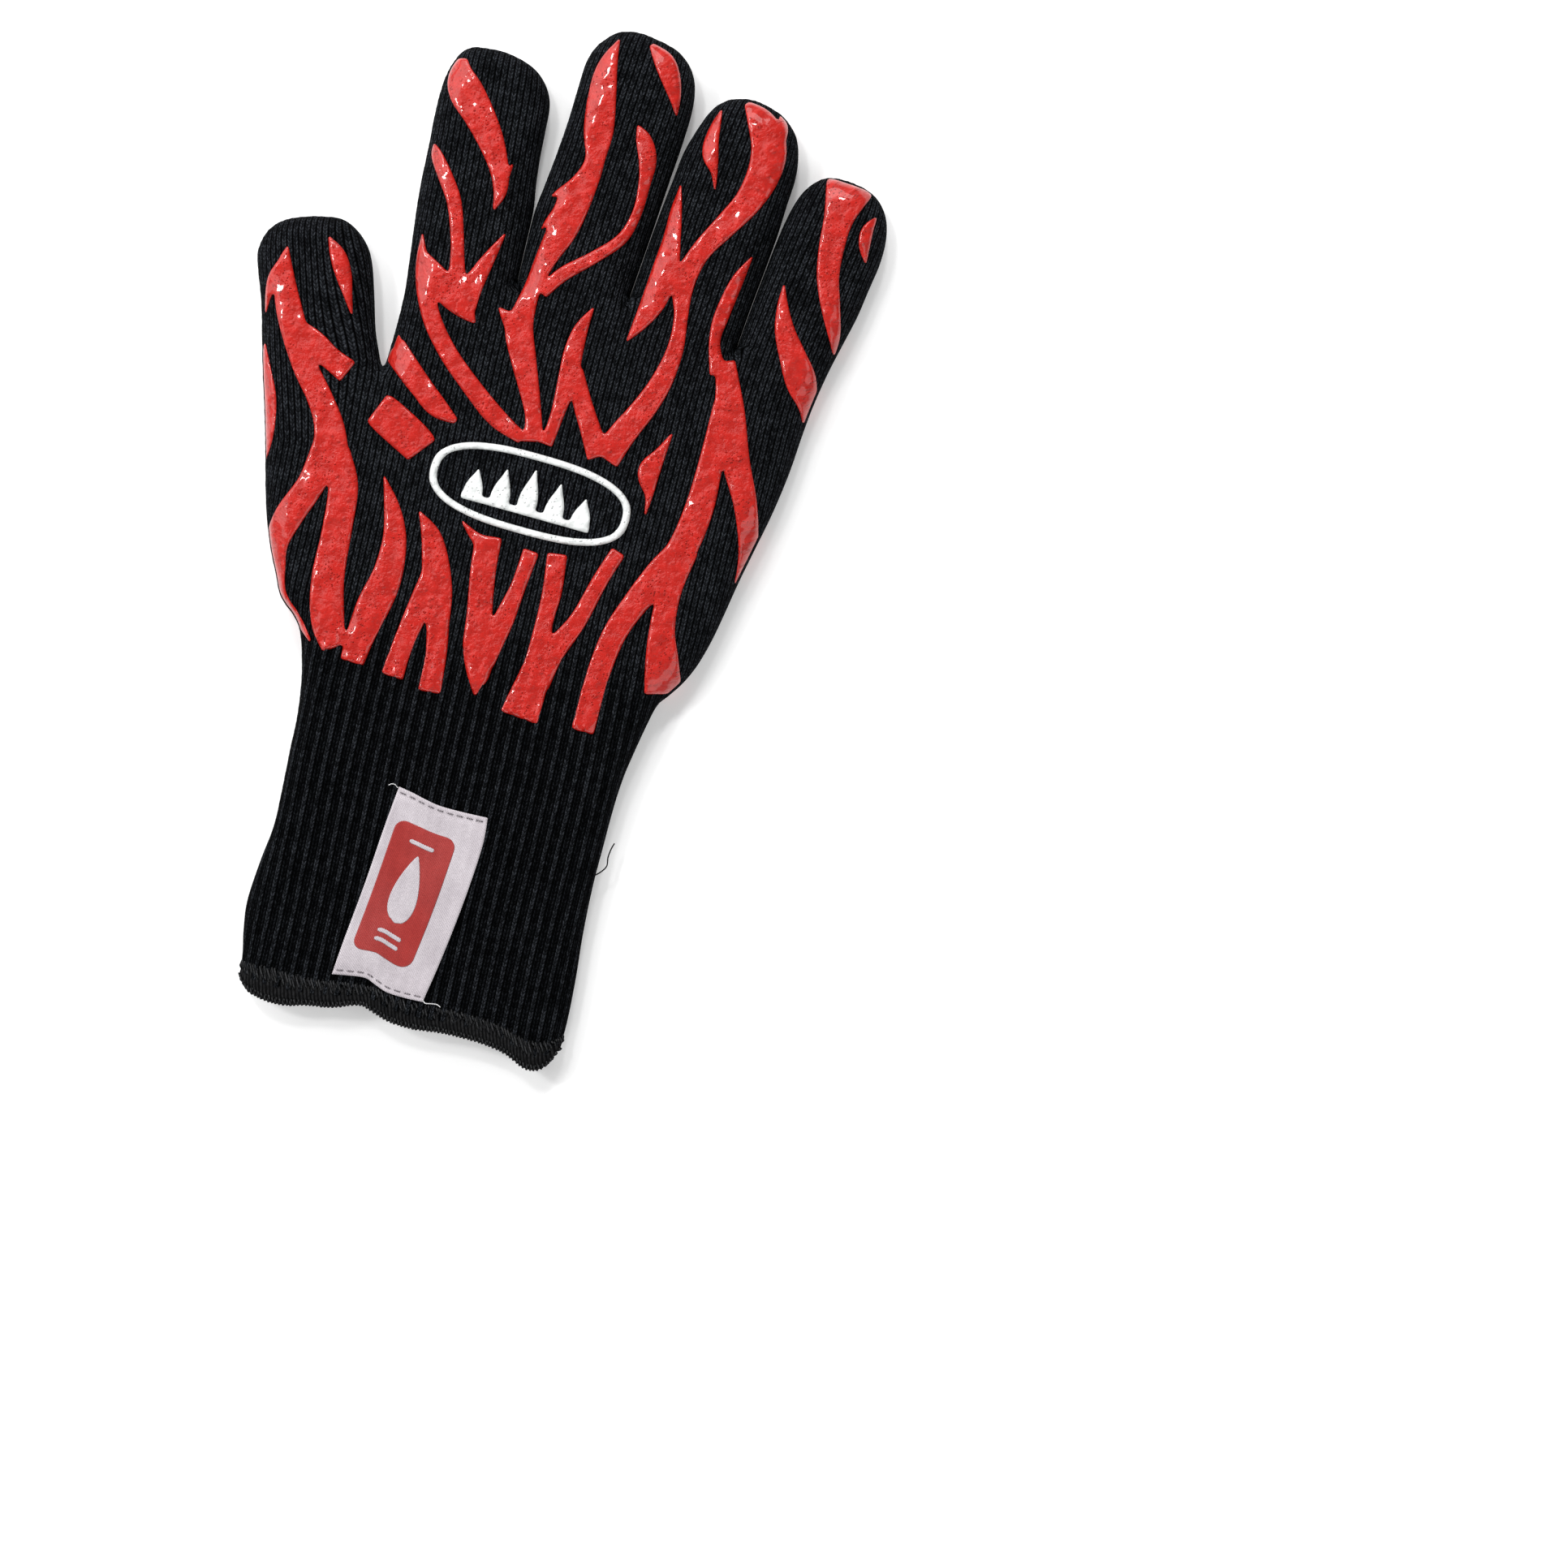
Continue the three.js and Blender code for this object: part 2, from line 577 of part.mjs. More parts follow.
// One sewn row near an end of the label, from its left side to its right side.
function labelSeam(leftCorner, rightCorner, inset) {
  const run = [rightCorner[0] - leftCorner[0], rightCorner[1] - leftCorner[1]];
  const across = new THREE.Vector2(...run).normalize();
  const up = [-across.y, across.x];
  const ends = [leftCorner, rightCorner].map(([x, y], i) => {
    const inwards = i === 0 ? 1 : -1;
    return [x + inwards * across.x + up[0] * inset, y + inwards * across.y + up[1] * inset];
  });
  const half = LABEL.seamWidth / 2;
  const row = [
    [ends[0][0] - up[0] * half, ends[0][1] - up[1] * half],
    [ends[1][0] - up[0] * half, ends[1][1] - up[1] * half],
    [ends[1][0] + up[0] * half, ends[1][1] + up[1] * half],
    [ends[0][0] + up[0] * half, ends[0][1] + up[1] * half],
  ];
  return layerOnTop(row, THREAD_THICKNESS, 2 * CLEARANCE + LABEL_THICKNESS);
}

function buildGlove() {
  const glove = new THREE.Group();
  const spaces = segmentSpaces();
  const outer = pillow(0);
  const cavity = pillow(CAVITY_INSET);
  const fabric = aboveHemLine(-CLEARANCE);
  const shell = outer.subtract(pillow(SHELL_WALL)).intersect(fabric);
  const liner = pillow(LINER_INSET).subtract(cavity).intersect(fabric);
  for (const [segment, space] of Object.entries(spaces)) {
    glove.add(meshOf(shell.intersect(space), segment + "_shell", FABRIC));
    glove.add(meshOf(liner.intersect(space), segment + "_liner", COTTON));
  }
  glove.add(meshOf(hemBand(outer, cavity), "hem_binding", BINDING));
  for (const strip of stripMeshes(spaces)) {
    glove.add(strip);
  }
  glove.add(meshOf(badgeRing(), "badge_ring", BADGE_PRINT));
  glove.add(meshOf(fireSign(), "badge_fire_sign", BADGE_PRINT));
  const [topLeft, topRight, , bottomRight, bottomLeft] = LABEL.corners;
  glove.add(meshOf(layerOnTop(LABEL.corners, LABEL_THICKNESS), "woven_label", SATIN));
  glove.add(meshOf(labelSeam(topLeft, topRight, -LABEL.seamInset), "label_seam_upper", SATIN));
  glove.add(meshOf(labelSeam(bottomLeft, bottomRight, LABEL.seamInset), "label_seam_lower", SATIN));
  glove.position.set(-PATTERN_CENTRE[0], -PATTERN_CENTRE[1], 0);
  return glove;
}

const part = new THREE.Group();
part.add(buildGlove());

export default part;
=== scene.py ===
# A heat resistant barbecue glove, lying flat and empty on its back.
#
# Shapes are worked out in millimetres in the pattern's own frame, fingers along +Y and thumb at -X,
# whose origin is PATTERN_CENTRE short of the frame's. They turn into the frame's metres when a mesh is
# made. The knit is one surface over the whole glove, cut into pieces where the segments of the glove
# part.

import math

import bpy
import numpy as np
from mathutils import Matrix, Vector
from mathutils.geometry import delaunay_2d_cdt
from mathutils.kdtree import KDTree


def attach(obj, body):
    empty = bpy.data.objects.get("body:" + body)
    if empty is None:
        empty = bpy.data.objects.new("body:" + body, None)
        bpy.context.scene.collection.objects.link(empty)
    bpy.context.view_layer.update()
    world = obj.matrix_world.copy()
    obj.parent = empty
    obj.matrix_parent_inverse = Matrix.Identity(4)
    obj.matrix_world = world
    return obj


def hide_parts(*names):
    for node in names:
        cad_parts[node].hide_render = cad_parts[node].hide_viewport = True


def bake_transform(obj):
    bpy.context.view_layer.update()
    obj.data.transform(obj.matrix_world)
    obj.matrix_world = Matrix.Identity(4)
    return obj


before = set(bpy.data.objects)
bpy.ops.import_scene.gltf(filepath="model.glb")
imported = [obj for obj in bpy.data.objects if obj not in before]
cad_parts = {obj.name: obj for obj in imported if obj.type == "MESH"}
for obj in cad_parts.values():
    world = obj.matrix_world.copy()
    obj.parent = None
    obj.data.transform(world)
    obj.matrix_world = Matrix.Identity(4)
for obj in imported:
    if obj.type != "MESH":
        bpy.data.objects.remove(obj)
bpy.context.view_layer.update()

# Driving dimensions, in millimetres.
PATTERN_CENTRE = (8.7, 174.67)
# The puffed glove: the heights of its back, its seam line and its face, and how far in from the seam
# line the two faces keep rising. The face sinks towards the mouth over TAPER.
BACK = 1.4
SEAM_HEIGHT = 7.4
FACE = 16.6
MOUTH_FACE = 12.4
TAPER = (15, 118)
FACE_REACH = 10.5
BACK_REACH = 6.5
# The knit: the size of one stitch, and the ribs, which fade out over RIB_TOP.
WALE = 2.03
COURSE = 1.38
RIB = 2 * WALE
RIB_DEPTH = 0.62
RIB_TOP = (128, 152)
CUFF_TOP = 150
# Where the columns of stitches start to lean: with the fingers, beyond PALM_FAN, and with the thumb.
PALM_FAN = (222, 256)
THUMB_FAN = 188
THUMB_FAN_REACH = 72
# How far a blend piece of the knit reaches on each side of a hinge, what its pieces reach beyond
# that, where the fingers' pieces may start, and the height of a blend's ends.
BLEND_REACH = 9
ROOT_MARGIN = 3
FINGERS_START = 195
BLEND_HEIGHT = 12.5
# A point this close to the edge of its ground is on it.
ON_EDGE = 0.02
# The print: its distance from the seam line, height, rounding, how much it follows the ribs, and how
# far its edge and its underside lie in the knit.
PRINT_MARGIN = 0.7
PRINT_HEIGHT = 1.05
PRINT_ROUNDING = 1.3
PRINT_RIB_SHARE = 0.35
PRINT_SINK = 0.25
PRINT_FOOT = 0.6
BADGE_HEIGHT = 1.5
BADGE_ROUNDING = 1.2
# The hem: one turn of its yarn, half its thickness, how far its middle lies inside the knit, where
# along the cuff its line is taken, and its points along one turn and round its section.
HEM_PITCH = 1.25
HEM_HALF_THICKNESS = 1.6
HEM_SINK = 1.5
MOUTH_SECTION = 13.0
HEM_STEPS = 5
HEM_SIDES = 20
# The liner: how far it lies inside the seam line, and below the faces.
LINER_INSET = 2.6
LINER_DROP = 1.9
# The label, laid on the ribs.
LABEL_LIFT = 0.95
LABEL_THICKNESS = 0.35
LABEL_SIZE = (31, 66)
# Its two rows of stitches, at shares of its length, and one stitch as shares across and heights.
SEAM_SHARES = {"label_seam_top": 0.976, "label_seam_bottom": 0.024}
SEAM_STITCHES = {"count": 9, "first": 0.03, "pitch": 0.107}
STITCH = [(0, -0.5), (0.006, 0.1), (0.036, 0.16), (0.066, 0.1), (0.072, -0.5)]

# The camera looks straight down. In metres: the place under it, and the width it sees at VIEW_HEIGHT.
CAMERA_CENTRE = (0.1093, -0.06067)
CAMERA_WIDTH = 0.5207
VIEW_HEIGHT = 0.012
CAMERA_ROLL = 13
CAMERA_LENS = 85
SENSOR = 36
FLOOR_REACH = 3
# The lights, all turned to the origin: name, place and size in metres, and power in watts.
LIGHTS = [
    ("window", (-1.05, 0.45, 0.75), (1.7, 1.3), 14.5),
    ("glint_0", (-0.45, 0.5, 1.1), (0.15, 0.15), 3.2),
    ("glint_1", (-0.75, 0.1, 0.95), (0.15, 0.15), 3.2),
    ("glint_2", (-0.1, 0.85, 1.0), (0.15, 0.15), 3.2),
    ("far_window", (-0.2, 1.25, 0.8), (1.2, 0.6), 10),
    ("room_side", (1.2, -0.5, 1.0), (1.2, 1.2), 9),
    ("near_side", (0.1, -1.3, 0.9), (1.2, 0.6), 7),
]

# The flat outline, clockwise from the left side of the cuff below its hem.
OUTLINE = [
    # cuff, left side
    (-43, -40), (-43.5, 0), (-45, 17), (-46.6, 26), (-47.6, 36), (-46.3, 50), (-44.6, 62), (-44.6, 74),
    (-45, 88), (-45.2, 100), (-46.6, 112), (-48.6, 121),
    # thumb
    (-51, 128), (-54.2, 132.2), (-57.5, 135), (-60.3, 138.4), (-63, 144.5), (-66, 151), (-69, 159),
    (-72, 169), (-74.4, 179), (-76.6, 188), (-79.2, 198), (-82, 208), (-85, 220), (-87.8, 231),
    (-90.8, 240), (-92.6, 246), (-92.5, 250.5), (-91.2, 254.6), (-89, 257.6), (-85.4, 260.3),
    (-80, 262.4), (-74.6, 263.7), (-69, 264.4), (-65, 263.5), (-61, 261), (-58, 258), (-56, 255),
    (-54, 250), (-51.4, 241), (-49, 232), (-46.8, 226), (-43.4, 219.6),
    # index finger
    (-42.3, 230), (-42, 244), (-43, 257), (-44, 268), (-44.9, 280), (-45.2, 294), (-45.6, 306),
    (-45.4, 314), (-44.3, 321), (-41.8, 326.8), (-38, 329.9), (-32, 330.7), (-26, 330.5), (-20, 329),
    (-15, 326.4), (-10.9, 321.8), (-8.8, 316.2), (-8.4, 308), (-8.1, 299), (-7.4, 290), (-6.3, 281),
    (-6.27, 268), (-6.2, 257),
    # middle finger
    (-6.13, 268), (-5.9, 281), (-4.5, 291), (-3, 302), (-1.8, 313), (-1.1, 324), (-0.4, 333), (1.6, 339),
    (4.8, 343), (9, 346), (15, 347), (22, 346), (28, 344.2), (32, 341.6), (35, 338), (37, 333), (37.8, 325),
    (37, 313), (35.9, 303), (34.8, 292), (33.57, 280), (32.25, 268), (31.4, 260),
    # ring finger
    (32.38, 268), (33.6, 279), (35.1, 291), (36.7, 302), (38, 311), (40.2, 318.4), (43, 325.4),
    (46.4, 330.2), (51, 332.8), (57, 333.7), (62, 332.8), (67, 331), (71, 328), (74, 324), (75.8, 318),
    (76.4, 311), (75.6, 302), (74.85, 292), (73.3, 279), (71.55, 266), (70, 252),
    # little finger
    (71.68, 266), (73.45, 279), (75.2, 291), (76.9, 299.4), (79, 305.8), (82, 310.6), (86, 313.7),
    (91, 314.6), (97, 314), (102, 312.4), (106, 309.4), (109, 304.6), (110.4, 298), (110.2, 290),
    (108.6, 281), (106.8, 271), (104.2, 261), (101.6, 251), (99.4, 240), (98, 230), (96.4, 215),
    (94, 201), (91, 188), (88.2, 176), (86, 165), (83.8, 155), (81, 146), (77.8, 139.4), (74, 134),
    (71, 130), (69, 122.6),
    # cuff, right side
    (66.8, 112), (65.4, 104), (64.5, 94), (64, 80), (63.6, 66), (64, 50), (65, 35), (65.4, 19), (64.5, 0),
    (64.5, -40),
]

# Lines along the gaps between the fingers, from below each crotch outwards.
GAP_LINES = {
    "thumb_index": [(-43.4, 190), (-43.4, 219.6), (-44.6, 226), (-46, 236), (-48.6, 250), (-50, 380)],
    "index_middle": [(-6.2, 190), (-6.2, 257), (-6.2, 268), (-6.1, 281), (-5, 300), (-4.6, 380)],
    "middle_ring": [(31.4, 190), (31.4, 260), (32.3, 268), (34.9, 291), (36.3, 303), (37.9, 318), (43, 380)],
    "ring_little": [(70, 190), (70, 252), (71.6, 266), (75, 291), (76.3, 303), (79, 312), (84, 380)],
}
FINGERS = ["thumb", "index", "middle", "ring", "little"]
# The hinge lines: a point on each, and the lean of what lies beyond it, in degrees from +Y towards -X.
HINGES = {
    "wrist": {"at": (9.6, 104), "lean": 0},
    "thumb_root": {"at": (-66, 221), "lean": 14.8},
    "thumb_middle": {"at": (-71.9, 243.6), "lean": 14.8},
    "index_root": {"at": (-24.8, 267), "lean": 2.7},
    "index_middle": {"at": (-26.2, 296), "lean": 2.7},
    "middle_root": {"at": (13.2, 271), "lean": -5.1},
    "middle_middle": {"at": (16.4, 306), "lean": -5.1},
    "ring_root": {"at": (52, 271), "lean": -6.8},
    "ring_middle": {"at": (55.6, 301), "lean": -6.8},
    "little_root": {"at": (87.4, 263), "lean": -10},
    "little_middle": {"at": (91.8, 288), "lean": -10},
}
# Where the knit's piece at each finger's root starts, short by ROOT_MARGIN, measured from its root hinge.
ROOT_START = {"thumb": -7, "index": -9, "middle": -9, "ring": -9, "little": -9}

# The hem's edges across the mouth, left to right.
HEM_BOTTOM = [
    (-50, 13.2), (-45.5, 12), (-44, 10.2), (-42, 8), (-39, 6.4), (-33, 5.1), (-27, 5.2), (-20, 6.8),
    (-12, 7.9), (-6, 10), (-2, 10.8), (2, 9.5), (8, 7.6), (16, 7), (26, 7.9), (38, 7.6), (46, 6.4),
    (50, 4.9), (55, 2.6), (59, 2.7), (61.5, 4.2), (63.5, 7.2), (65, 10.6), (70, 12.6),
]
HEM_TOP = [
    (-50, 17), (-44, 16), (-30, 15.5), (-20, 15.2), (-10, 16.6), (0, 17.4), (6, 16.2), (18, 15.5),
    (30, 15.5), (40, 15), (48, 13.2), (53, 11.4), (58, 11.6), (63, 13.6), (65, 15.6), (70, 16.5),
]

# Grip strips. Each blade is one tongue of a flame: its middle line as (x, y, width).
STRIPS = {
    "index_tip": [
        [
            (-18.3, 277.4, 0.8), (-17.6, 284, 4.6), (-19.6, 291, 6.4), (-24.4, 299.6, 8.8),
            (-30.4, 307.4, 10.6), (-36, 313.6, 11.6), (-39.2, 318.6, 8.6), (-40, 324.6, 3),
        ],
        [(-18, 286, 3.4), (-16.8, 290, 2.4), (-15.4, 294, 0.5)],
    ],
    "centre": [
        [
            (-43, 295, 0.6), (-41, 291.2, 4), (-36.6, 285, 5), (-31.8, 277.4, 5), (-28.6, 268, 4.6),
            (-26.4, 259, 4.8), (-24.4, 249, 7),
        ],
        [(-18.6, 243, 4), (-20, 249, 7.4), (-18.2, 256, 6), (-15.8, 263, 3.8), (-12.8, 271, 0.5)],
        [(-38, 258.6, 2), (-33, 252.8, 7), (-27, 247.6, 8.8), (-21, 243.6, 6.6), (-15.8, 239.6, 0.8)],
        [
            (-39.8, 265, 0.5), (-37.8, 256, 4.4), (-34.6, 247, 6.2), (-29.6, 237, 6.2), (-22, 227.6, 6.2),
            (-12, 218.6, 6.4), (-2, 210.8, 6.6), (8, 205.8, 4),
        ],
        [
            (11.6, 205.6, 7), (9.8, 214, 5.6), (6.2, 223, 7), (1.8, 233, 8.8), (-1.2, 241, 9.4),
            (-0.8, 249, 7), (0.2, 257, 6), (2.2, 266, 7.4), (5.2, 276, 10), (7, 286, 11), (10, 296, 7.6),
            (10.6, 302, 6.8), (9.6, 311, 10), (8.2, 322, 9.6), (7.6, 332, 7), (9.4, 342.6, 0.5),
        ],
        [(-9.6, 246.6, 0.5), (-5.4, 243.4, 4.6), (0, 239, 8)],
        [(-1, 286.2, 0.5), (2, 288.4, 3), (6, 291, 5)],
        [(-1.8, 274.8, 0.5), (0.4, 278.6, 2.6), (4, 283, 5)],
        [
            (3.4, 254, 4), (8.6, 261.6, 4.8), (18, 270, 4.2), (25, 277.6, 3.8), (28, 287, 3.2),
            (28.3, 297, 4), (27.6, 305, 6), (25, 311, 5.4), (21.8, 315.6, 0.6),
        ],
        [
            (16, 205.6, 4.4), (17.4, 216, 4.6), (18.2, 228, 6.6), (18, 238, 6.4), (18.8, 246, 4.6),
            (21.3, 253.8, 0.5),
        ],
        [(34, 205.6, 8), (29.4, 213.6, 7), (24.6, 222, 6.4), (20, 232, 5)],
        [
            (36, 205.4, 10), (40, 215, 9), (45, 225, 8.2), (48.6, 234.6, 7.2), (50.6, 246, 5.6),
            (50, 257, 4.8), (48.4, 268, 7.4), (51.4, 279, 6.8), (57.6, 289.6, 8), (63, 299, 9.2),
            (66, 309, 11), (65.8, 318, 11.8), (61.6, 325.8, 9.6), (55.2, 331.4, 2),
        ],
        [(67.4, 319, 6), (68.6, 325.6, 4), (66.8, 331.4, 0.6)],
        [
            (34.2, 244.8, 0.5), (37.4, 252, 5), (40.2, 261, 8.6), (41.4, 272, 8.6), (41.2, 282, 6),
            (40.5, 291, 4), (40, 300, 0.5),
        ],
    ],
    "middle_tip": [
        [(33.6, 321.4, 0.5), (31.8, 327, 3.8), (29, 333, 6.6), (25.4, 338.4, 6.8), (20, 343, 1.8)],
    ],
    "ring_tip": [
        [
            (51.6, 300, 0.5), (50, 306, 2.4), (47.6, 311, 5.4), (46.7, 316, 5), (47, 322, 3.2),
            (47.6, 327.4, 0.6),
        ],
    ],
    "ring_side": [
        [(68.6, 282, 0.5), (65.4, 272.4, 4.2), (63, 260, 5), (62.8, 251, 3.8), (66.4, 241, 6)],
        [
            (67.4, 246, 7), (70, 239, 8), (73.2, 229, 10), (78.4, 214.6, 9.4), (84.4, 202, 8),
            (88.2, 190, 6.6), (88.8, 179, 4), (86.3, 167, 0.5),
        ],
        [
            (70.4, 232, 7), (70.5, 214, 8), (70.2, 197, 9.6), (67.6, 182, 10), (62.6, 172.4, 10.4),
            (56.6, 161, 8.6), (52, 149, 8), (49.8, 134, 7.8), (49.1, 115.8, 7.8),
        ],
        [(68.4, 182, 9.6), (66.8, 168, 8), (67.2, 155, 8.6), (69.4, 145, 11), (72.2, 134, 12.6)],
    ],
    "little_tip": [
        [
            (102.2, 256.2, 0.6), (100.6, 263, 4.4), (97.4, 271.6, 6.6), (94.4, 281, 7.6), (93.4, 291, 8.6),
            (93.6, 301, 10.2), (94.8, 313, 16.4),
        ],
    ],
    "little_side": [
        [(105.7, 304, 0.6), (103.7, 298.6, 4), (103.9, 293.4, 3.8), (105.6, 288, 0.6)],
    ],
    "little_root": [
        [
            (80.8, 275.4, 0.5), (82, 268, 3.8), (84.6, 260, 6.8), (89, 252.4, 9), (93.6, 245, 10.4),
            (97, 237.6, 5.4), (98, 230.6, 0.6),
        ],
    ],
    "badge_side": [
        [(56, 218.8, 0.6), (53.4, 211, 4.2), (51.2, 204.4, 7.4), (53, 197, 2.8), (53.2, 190, 0.6)],
    ],
    "palm_edge_upper": [
        [(-40.8, 226, 8.6), (-34, 219.8, 8.2), (-28, 214.6, 7.6), (-22, 209.8, 7), (-14.6, 206.4, 2)],
        [(-40.2, 230.8, 0.5), (-39, 226, 4)],
    ],
    "palm_edge_lower": [
        [(-41.2, 205, 9.6), (-38, 203.4, 12.4), (-27, 197.2, 12.4), (-23.6, 194.6, 11)],
    ],
    "thumb_tip": [
        [(-56.2, 233, 0.6), (-59.4, 240, 3.4), (-62.2, 246, 5.6), (-65.4, 251.6, 5.2), (-69.6, 256.8, 0.6)],
    ],
    "thumb": [
        [
            (-82, 250.6, 0.6), (-81.6, 244, 5.2), (-79.4, 236, 8), (-75, 226.4, 9), (-68, 213.8, 8.4),
            (-60.4, 204, 8.6), (-55.2, 195.4, 10), (-52.6, 186, 12.6),
        ],
        [(-84.7, 227.4, 0.5), (-85, 233, 2.4), (-84.3, 239, 4.4), (-82.4, 244, 4)],
        [(-76, 225.4, 7), (-67, 221.4, 8.6), (-60, 217.6, 7.6), (-53.2, 214.4, 8.4)],
        [
            (-54, 187, 11), (-57, 175, 9.4), (-62, 163, 9.8), (-64, 154, 8.6), (-62, 146.6, 6),
            (-58.6, 138, 3.4), (-51.6, 131, 2.8), (-45.6, 124.8, 1),
        ],
        [
            (-51, 188, 9), (-46.2, 177, 10), (-45, 162, 10), (-44.4, 147, 11), (-41.4, 133, 11.4),
            (-36.8, 124.6, 9),
        ],
        [
            (-34, 183.8, 0.5), (-29, 174, 5.4), (-25.8, 164, 8), (-25.4, 152, 10), (-27.6, 141, 11.2),
            (-29.6, 130, 9.4), (-30.4, 121, 8),
        ],
    ],
    "thumb_side": [
        [
            (-83, 218, 0.8), (-80.4, 209, 4), (-78, 200, 7), (-76, 190, 6.4), (-74.8, 183, 3),
            (-74.8, 178, 0.5),
        ],
    ],
    "heel_left": [
        [
            (-20, 175, 0.5), (-14.4, 168, 6.4), (-11, 160, 9), (-8, 150, 10), (-5.6, 140, 7.8),
            (-3.9, 130, 7.2), (-3.2, 117.2, 7.8),
        ],
        [(-11.4, 156, 6), (-12, 148, 8), (-14, 138, 7.4), (-15.6, 128, 7), (-16.4, 119.4, 7.8)],
    ],
    "heel_centre": [
        [
            (4.4, 172, 9), (5.2, 160, 8.6), (7.2, 146, 8.6), (9.4, 135.4, 10.6), (11.2, 127, 7.6),
            (11.7, 119.4, 0.6),
        ],
        [(5.4, 167.4, 6), (-1, 171.4, 3), (-5.6, 175, 0.5)],
        [(19.2, 170.4, 5.6), (17.6, 158, 5.2), (15.2, 145, 7), (12.6, 131, 6.4)],
    ],
    "heel_right": [
        [(27.8, 171.4, 6.8), (28.9, 159, 6.6), (28.7, 147, 6), (29.6, 133, 9.6), (27.6, 115.6, 13.4)],
        [(47.4, 176.6, 5.2), (43.6, 166, 5.4), (39.4, 151.4, 6), (33.4, 138.6, 8), (30.6, 128, 9)],
    ],
}

# The printed badge: an oval ring with a plain fire sign, a row of pointed drops rising from a bar.
BADGE = {
    "centre": (14.5, 188.6),
    "half_width": 32.8,
    "half_height": 12.4,
    "shape": 2.6,
    "stroke": 2.4,
    "turn": -2.6,
}
FIRE_SIGN = {
    "half_width": 23,
    "bottom": -7.4,
    "bar": 2.4,
    "drops": (11, 13.6, 16, 13.6, 11),
    "drop_width": 6.6,
}
# One drop of the sign from its foot to its point, as shares of its height and width.
DROP_SHAPE = [(0.02, 0.45), (0.12, 0.86), (0.28, 1), (0.5, 0.8), (0.74, 0.42), (1, 0.05)]

# The label's four curved sides, and what it carries: the red patch, its bars and its drop, in
# millimetres on the label.
LABEL_SIDES = {
    "left": [(-14, 18.8), (-12.4, 32), (-10, 50), (-8, 68), (-6, 84.5)],
    "right": [(17.5, 16.6), (20, 30), (22.2, 43), (24.2, 58), (25.4, 72), (25, 81)],
    "bottom": [(-14, 18.8), (-8.5, 19.6), (-3, 20.1), (0.5, 18.8), (5, 17.1), (11, 16.6), (17.5, 16.6)],
    "top": [(-6, 84.5), (-1, 83.5), (4, 82.2), (9, 81.3), (16, 81), (25, 81)],
}
PATCH = {"centre": (13, 33), "half": (10, 23.4), "corner": 3.6}
BARS = {"heights": (14.6, 17.8, 50.6), "half": (4.2, 0.75), "corner": 0.7}
LABEL_DROP = {"foot": 22, "height": 25, "half_width": 4.4, "steps": 24}


def flat(rows):
    return np.array(rows, dtype=float)


def everywhere(points):
    return np.ones(len(points), dtype=bool)


def smooth_line(points, spacing, closed=False):
    """A Catmull-Rom curve through the points, with its new points evenly apart."""
    points = flat(points)
    if closed:
        padded = np.vstack([points[-1:], points, points[:2]])
    else:
        padded = np.vstack([2 * points[:1] - points[1:2], points, 2 * points[-1:] - points[-2:-1]])
    t = np.linspace(0, 1, 12, endpoint=False)[:, None]
    runs = []
    for p0, p1, p2, p3 in zip(padded, padded[1:], padded[2:], padded[3:]):
        bend = 2 * p0 - 5 * p1 + 4 * p2 - p3
        swing = -p0 + 3 * p1 - 3 * p2 + p3
        runs.append(0.5 * (2 * p1 + (p2 - p0) * t + bend * t**2 + swing * t**3))
    line = np.vstack(runs + [padded[1:2] if closed else points[-1:]])
    return evenly(line, spacing, closed)


def evenly(line, spacing, closed=False):
    """The same line with its points evenly apart."""
    steps = np.linalg.norm(np.diff(line[:, :2], axis=0), axis=1)
    reach = np.concatenate([[0], np.cumsum(steps)])
    count = max(int(round(reach[-1] / spacing)), 3)
    at = np.linspace(0, reach[-1], count + 1)
    if closed:
        at = at[:-1]
    return np.stack([np.interp(at, reach, column) for column in line.T], axis=1)


def follow(table, x):
    """The height of a line given as points across X."""
    line = smooth_line(table, 1.0)
    return np.interp(x, line[:, 0], line[:, 1])


def smooth(value, low, high):
    t = np.clip((value - low) / (high - low), 0, 1)
    return t * t * (3 - 2 * t)


def ripple(x, y, length, seed):
    """Soft uneven waves of about one unit, as the sum of a few crossing sine waves."""
    draw = np.random.RandomState(seed)
    total = np.zeros_like(x)
    for _ in range(7):
        angle = draw.uniform(0, math.pi)
        size = length * draw.uniform(0.6, 1.7)
        phase = draw.uniform(0, 2 * math.pi)
        total += np.sin(2 * math.pi * (x * math.cos(angle) + y * math.sin(angle)) / size + phase)
    return total / 2.6


def along(hinge):
    lean = math.radians(HINGES[hinge]["lean"])
    return np.array([-math.sin(lean), math.cos(lean)])


def past(hinge, points):
    """How far the points lie beyond a hinge line, away from the cuff."""
    return (points - flat(HINGES[hinge]["at"])) @ along(hinge)


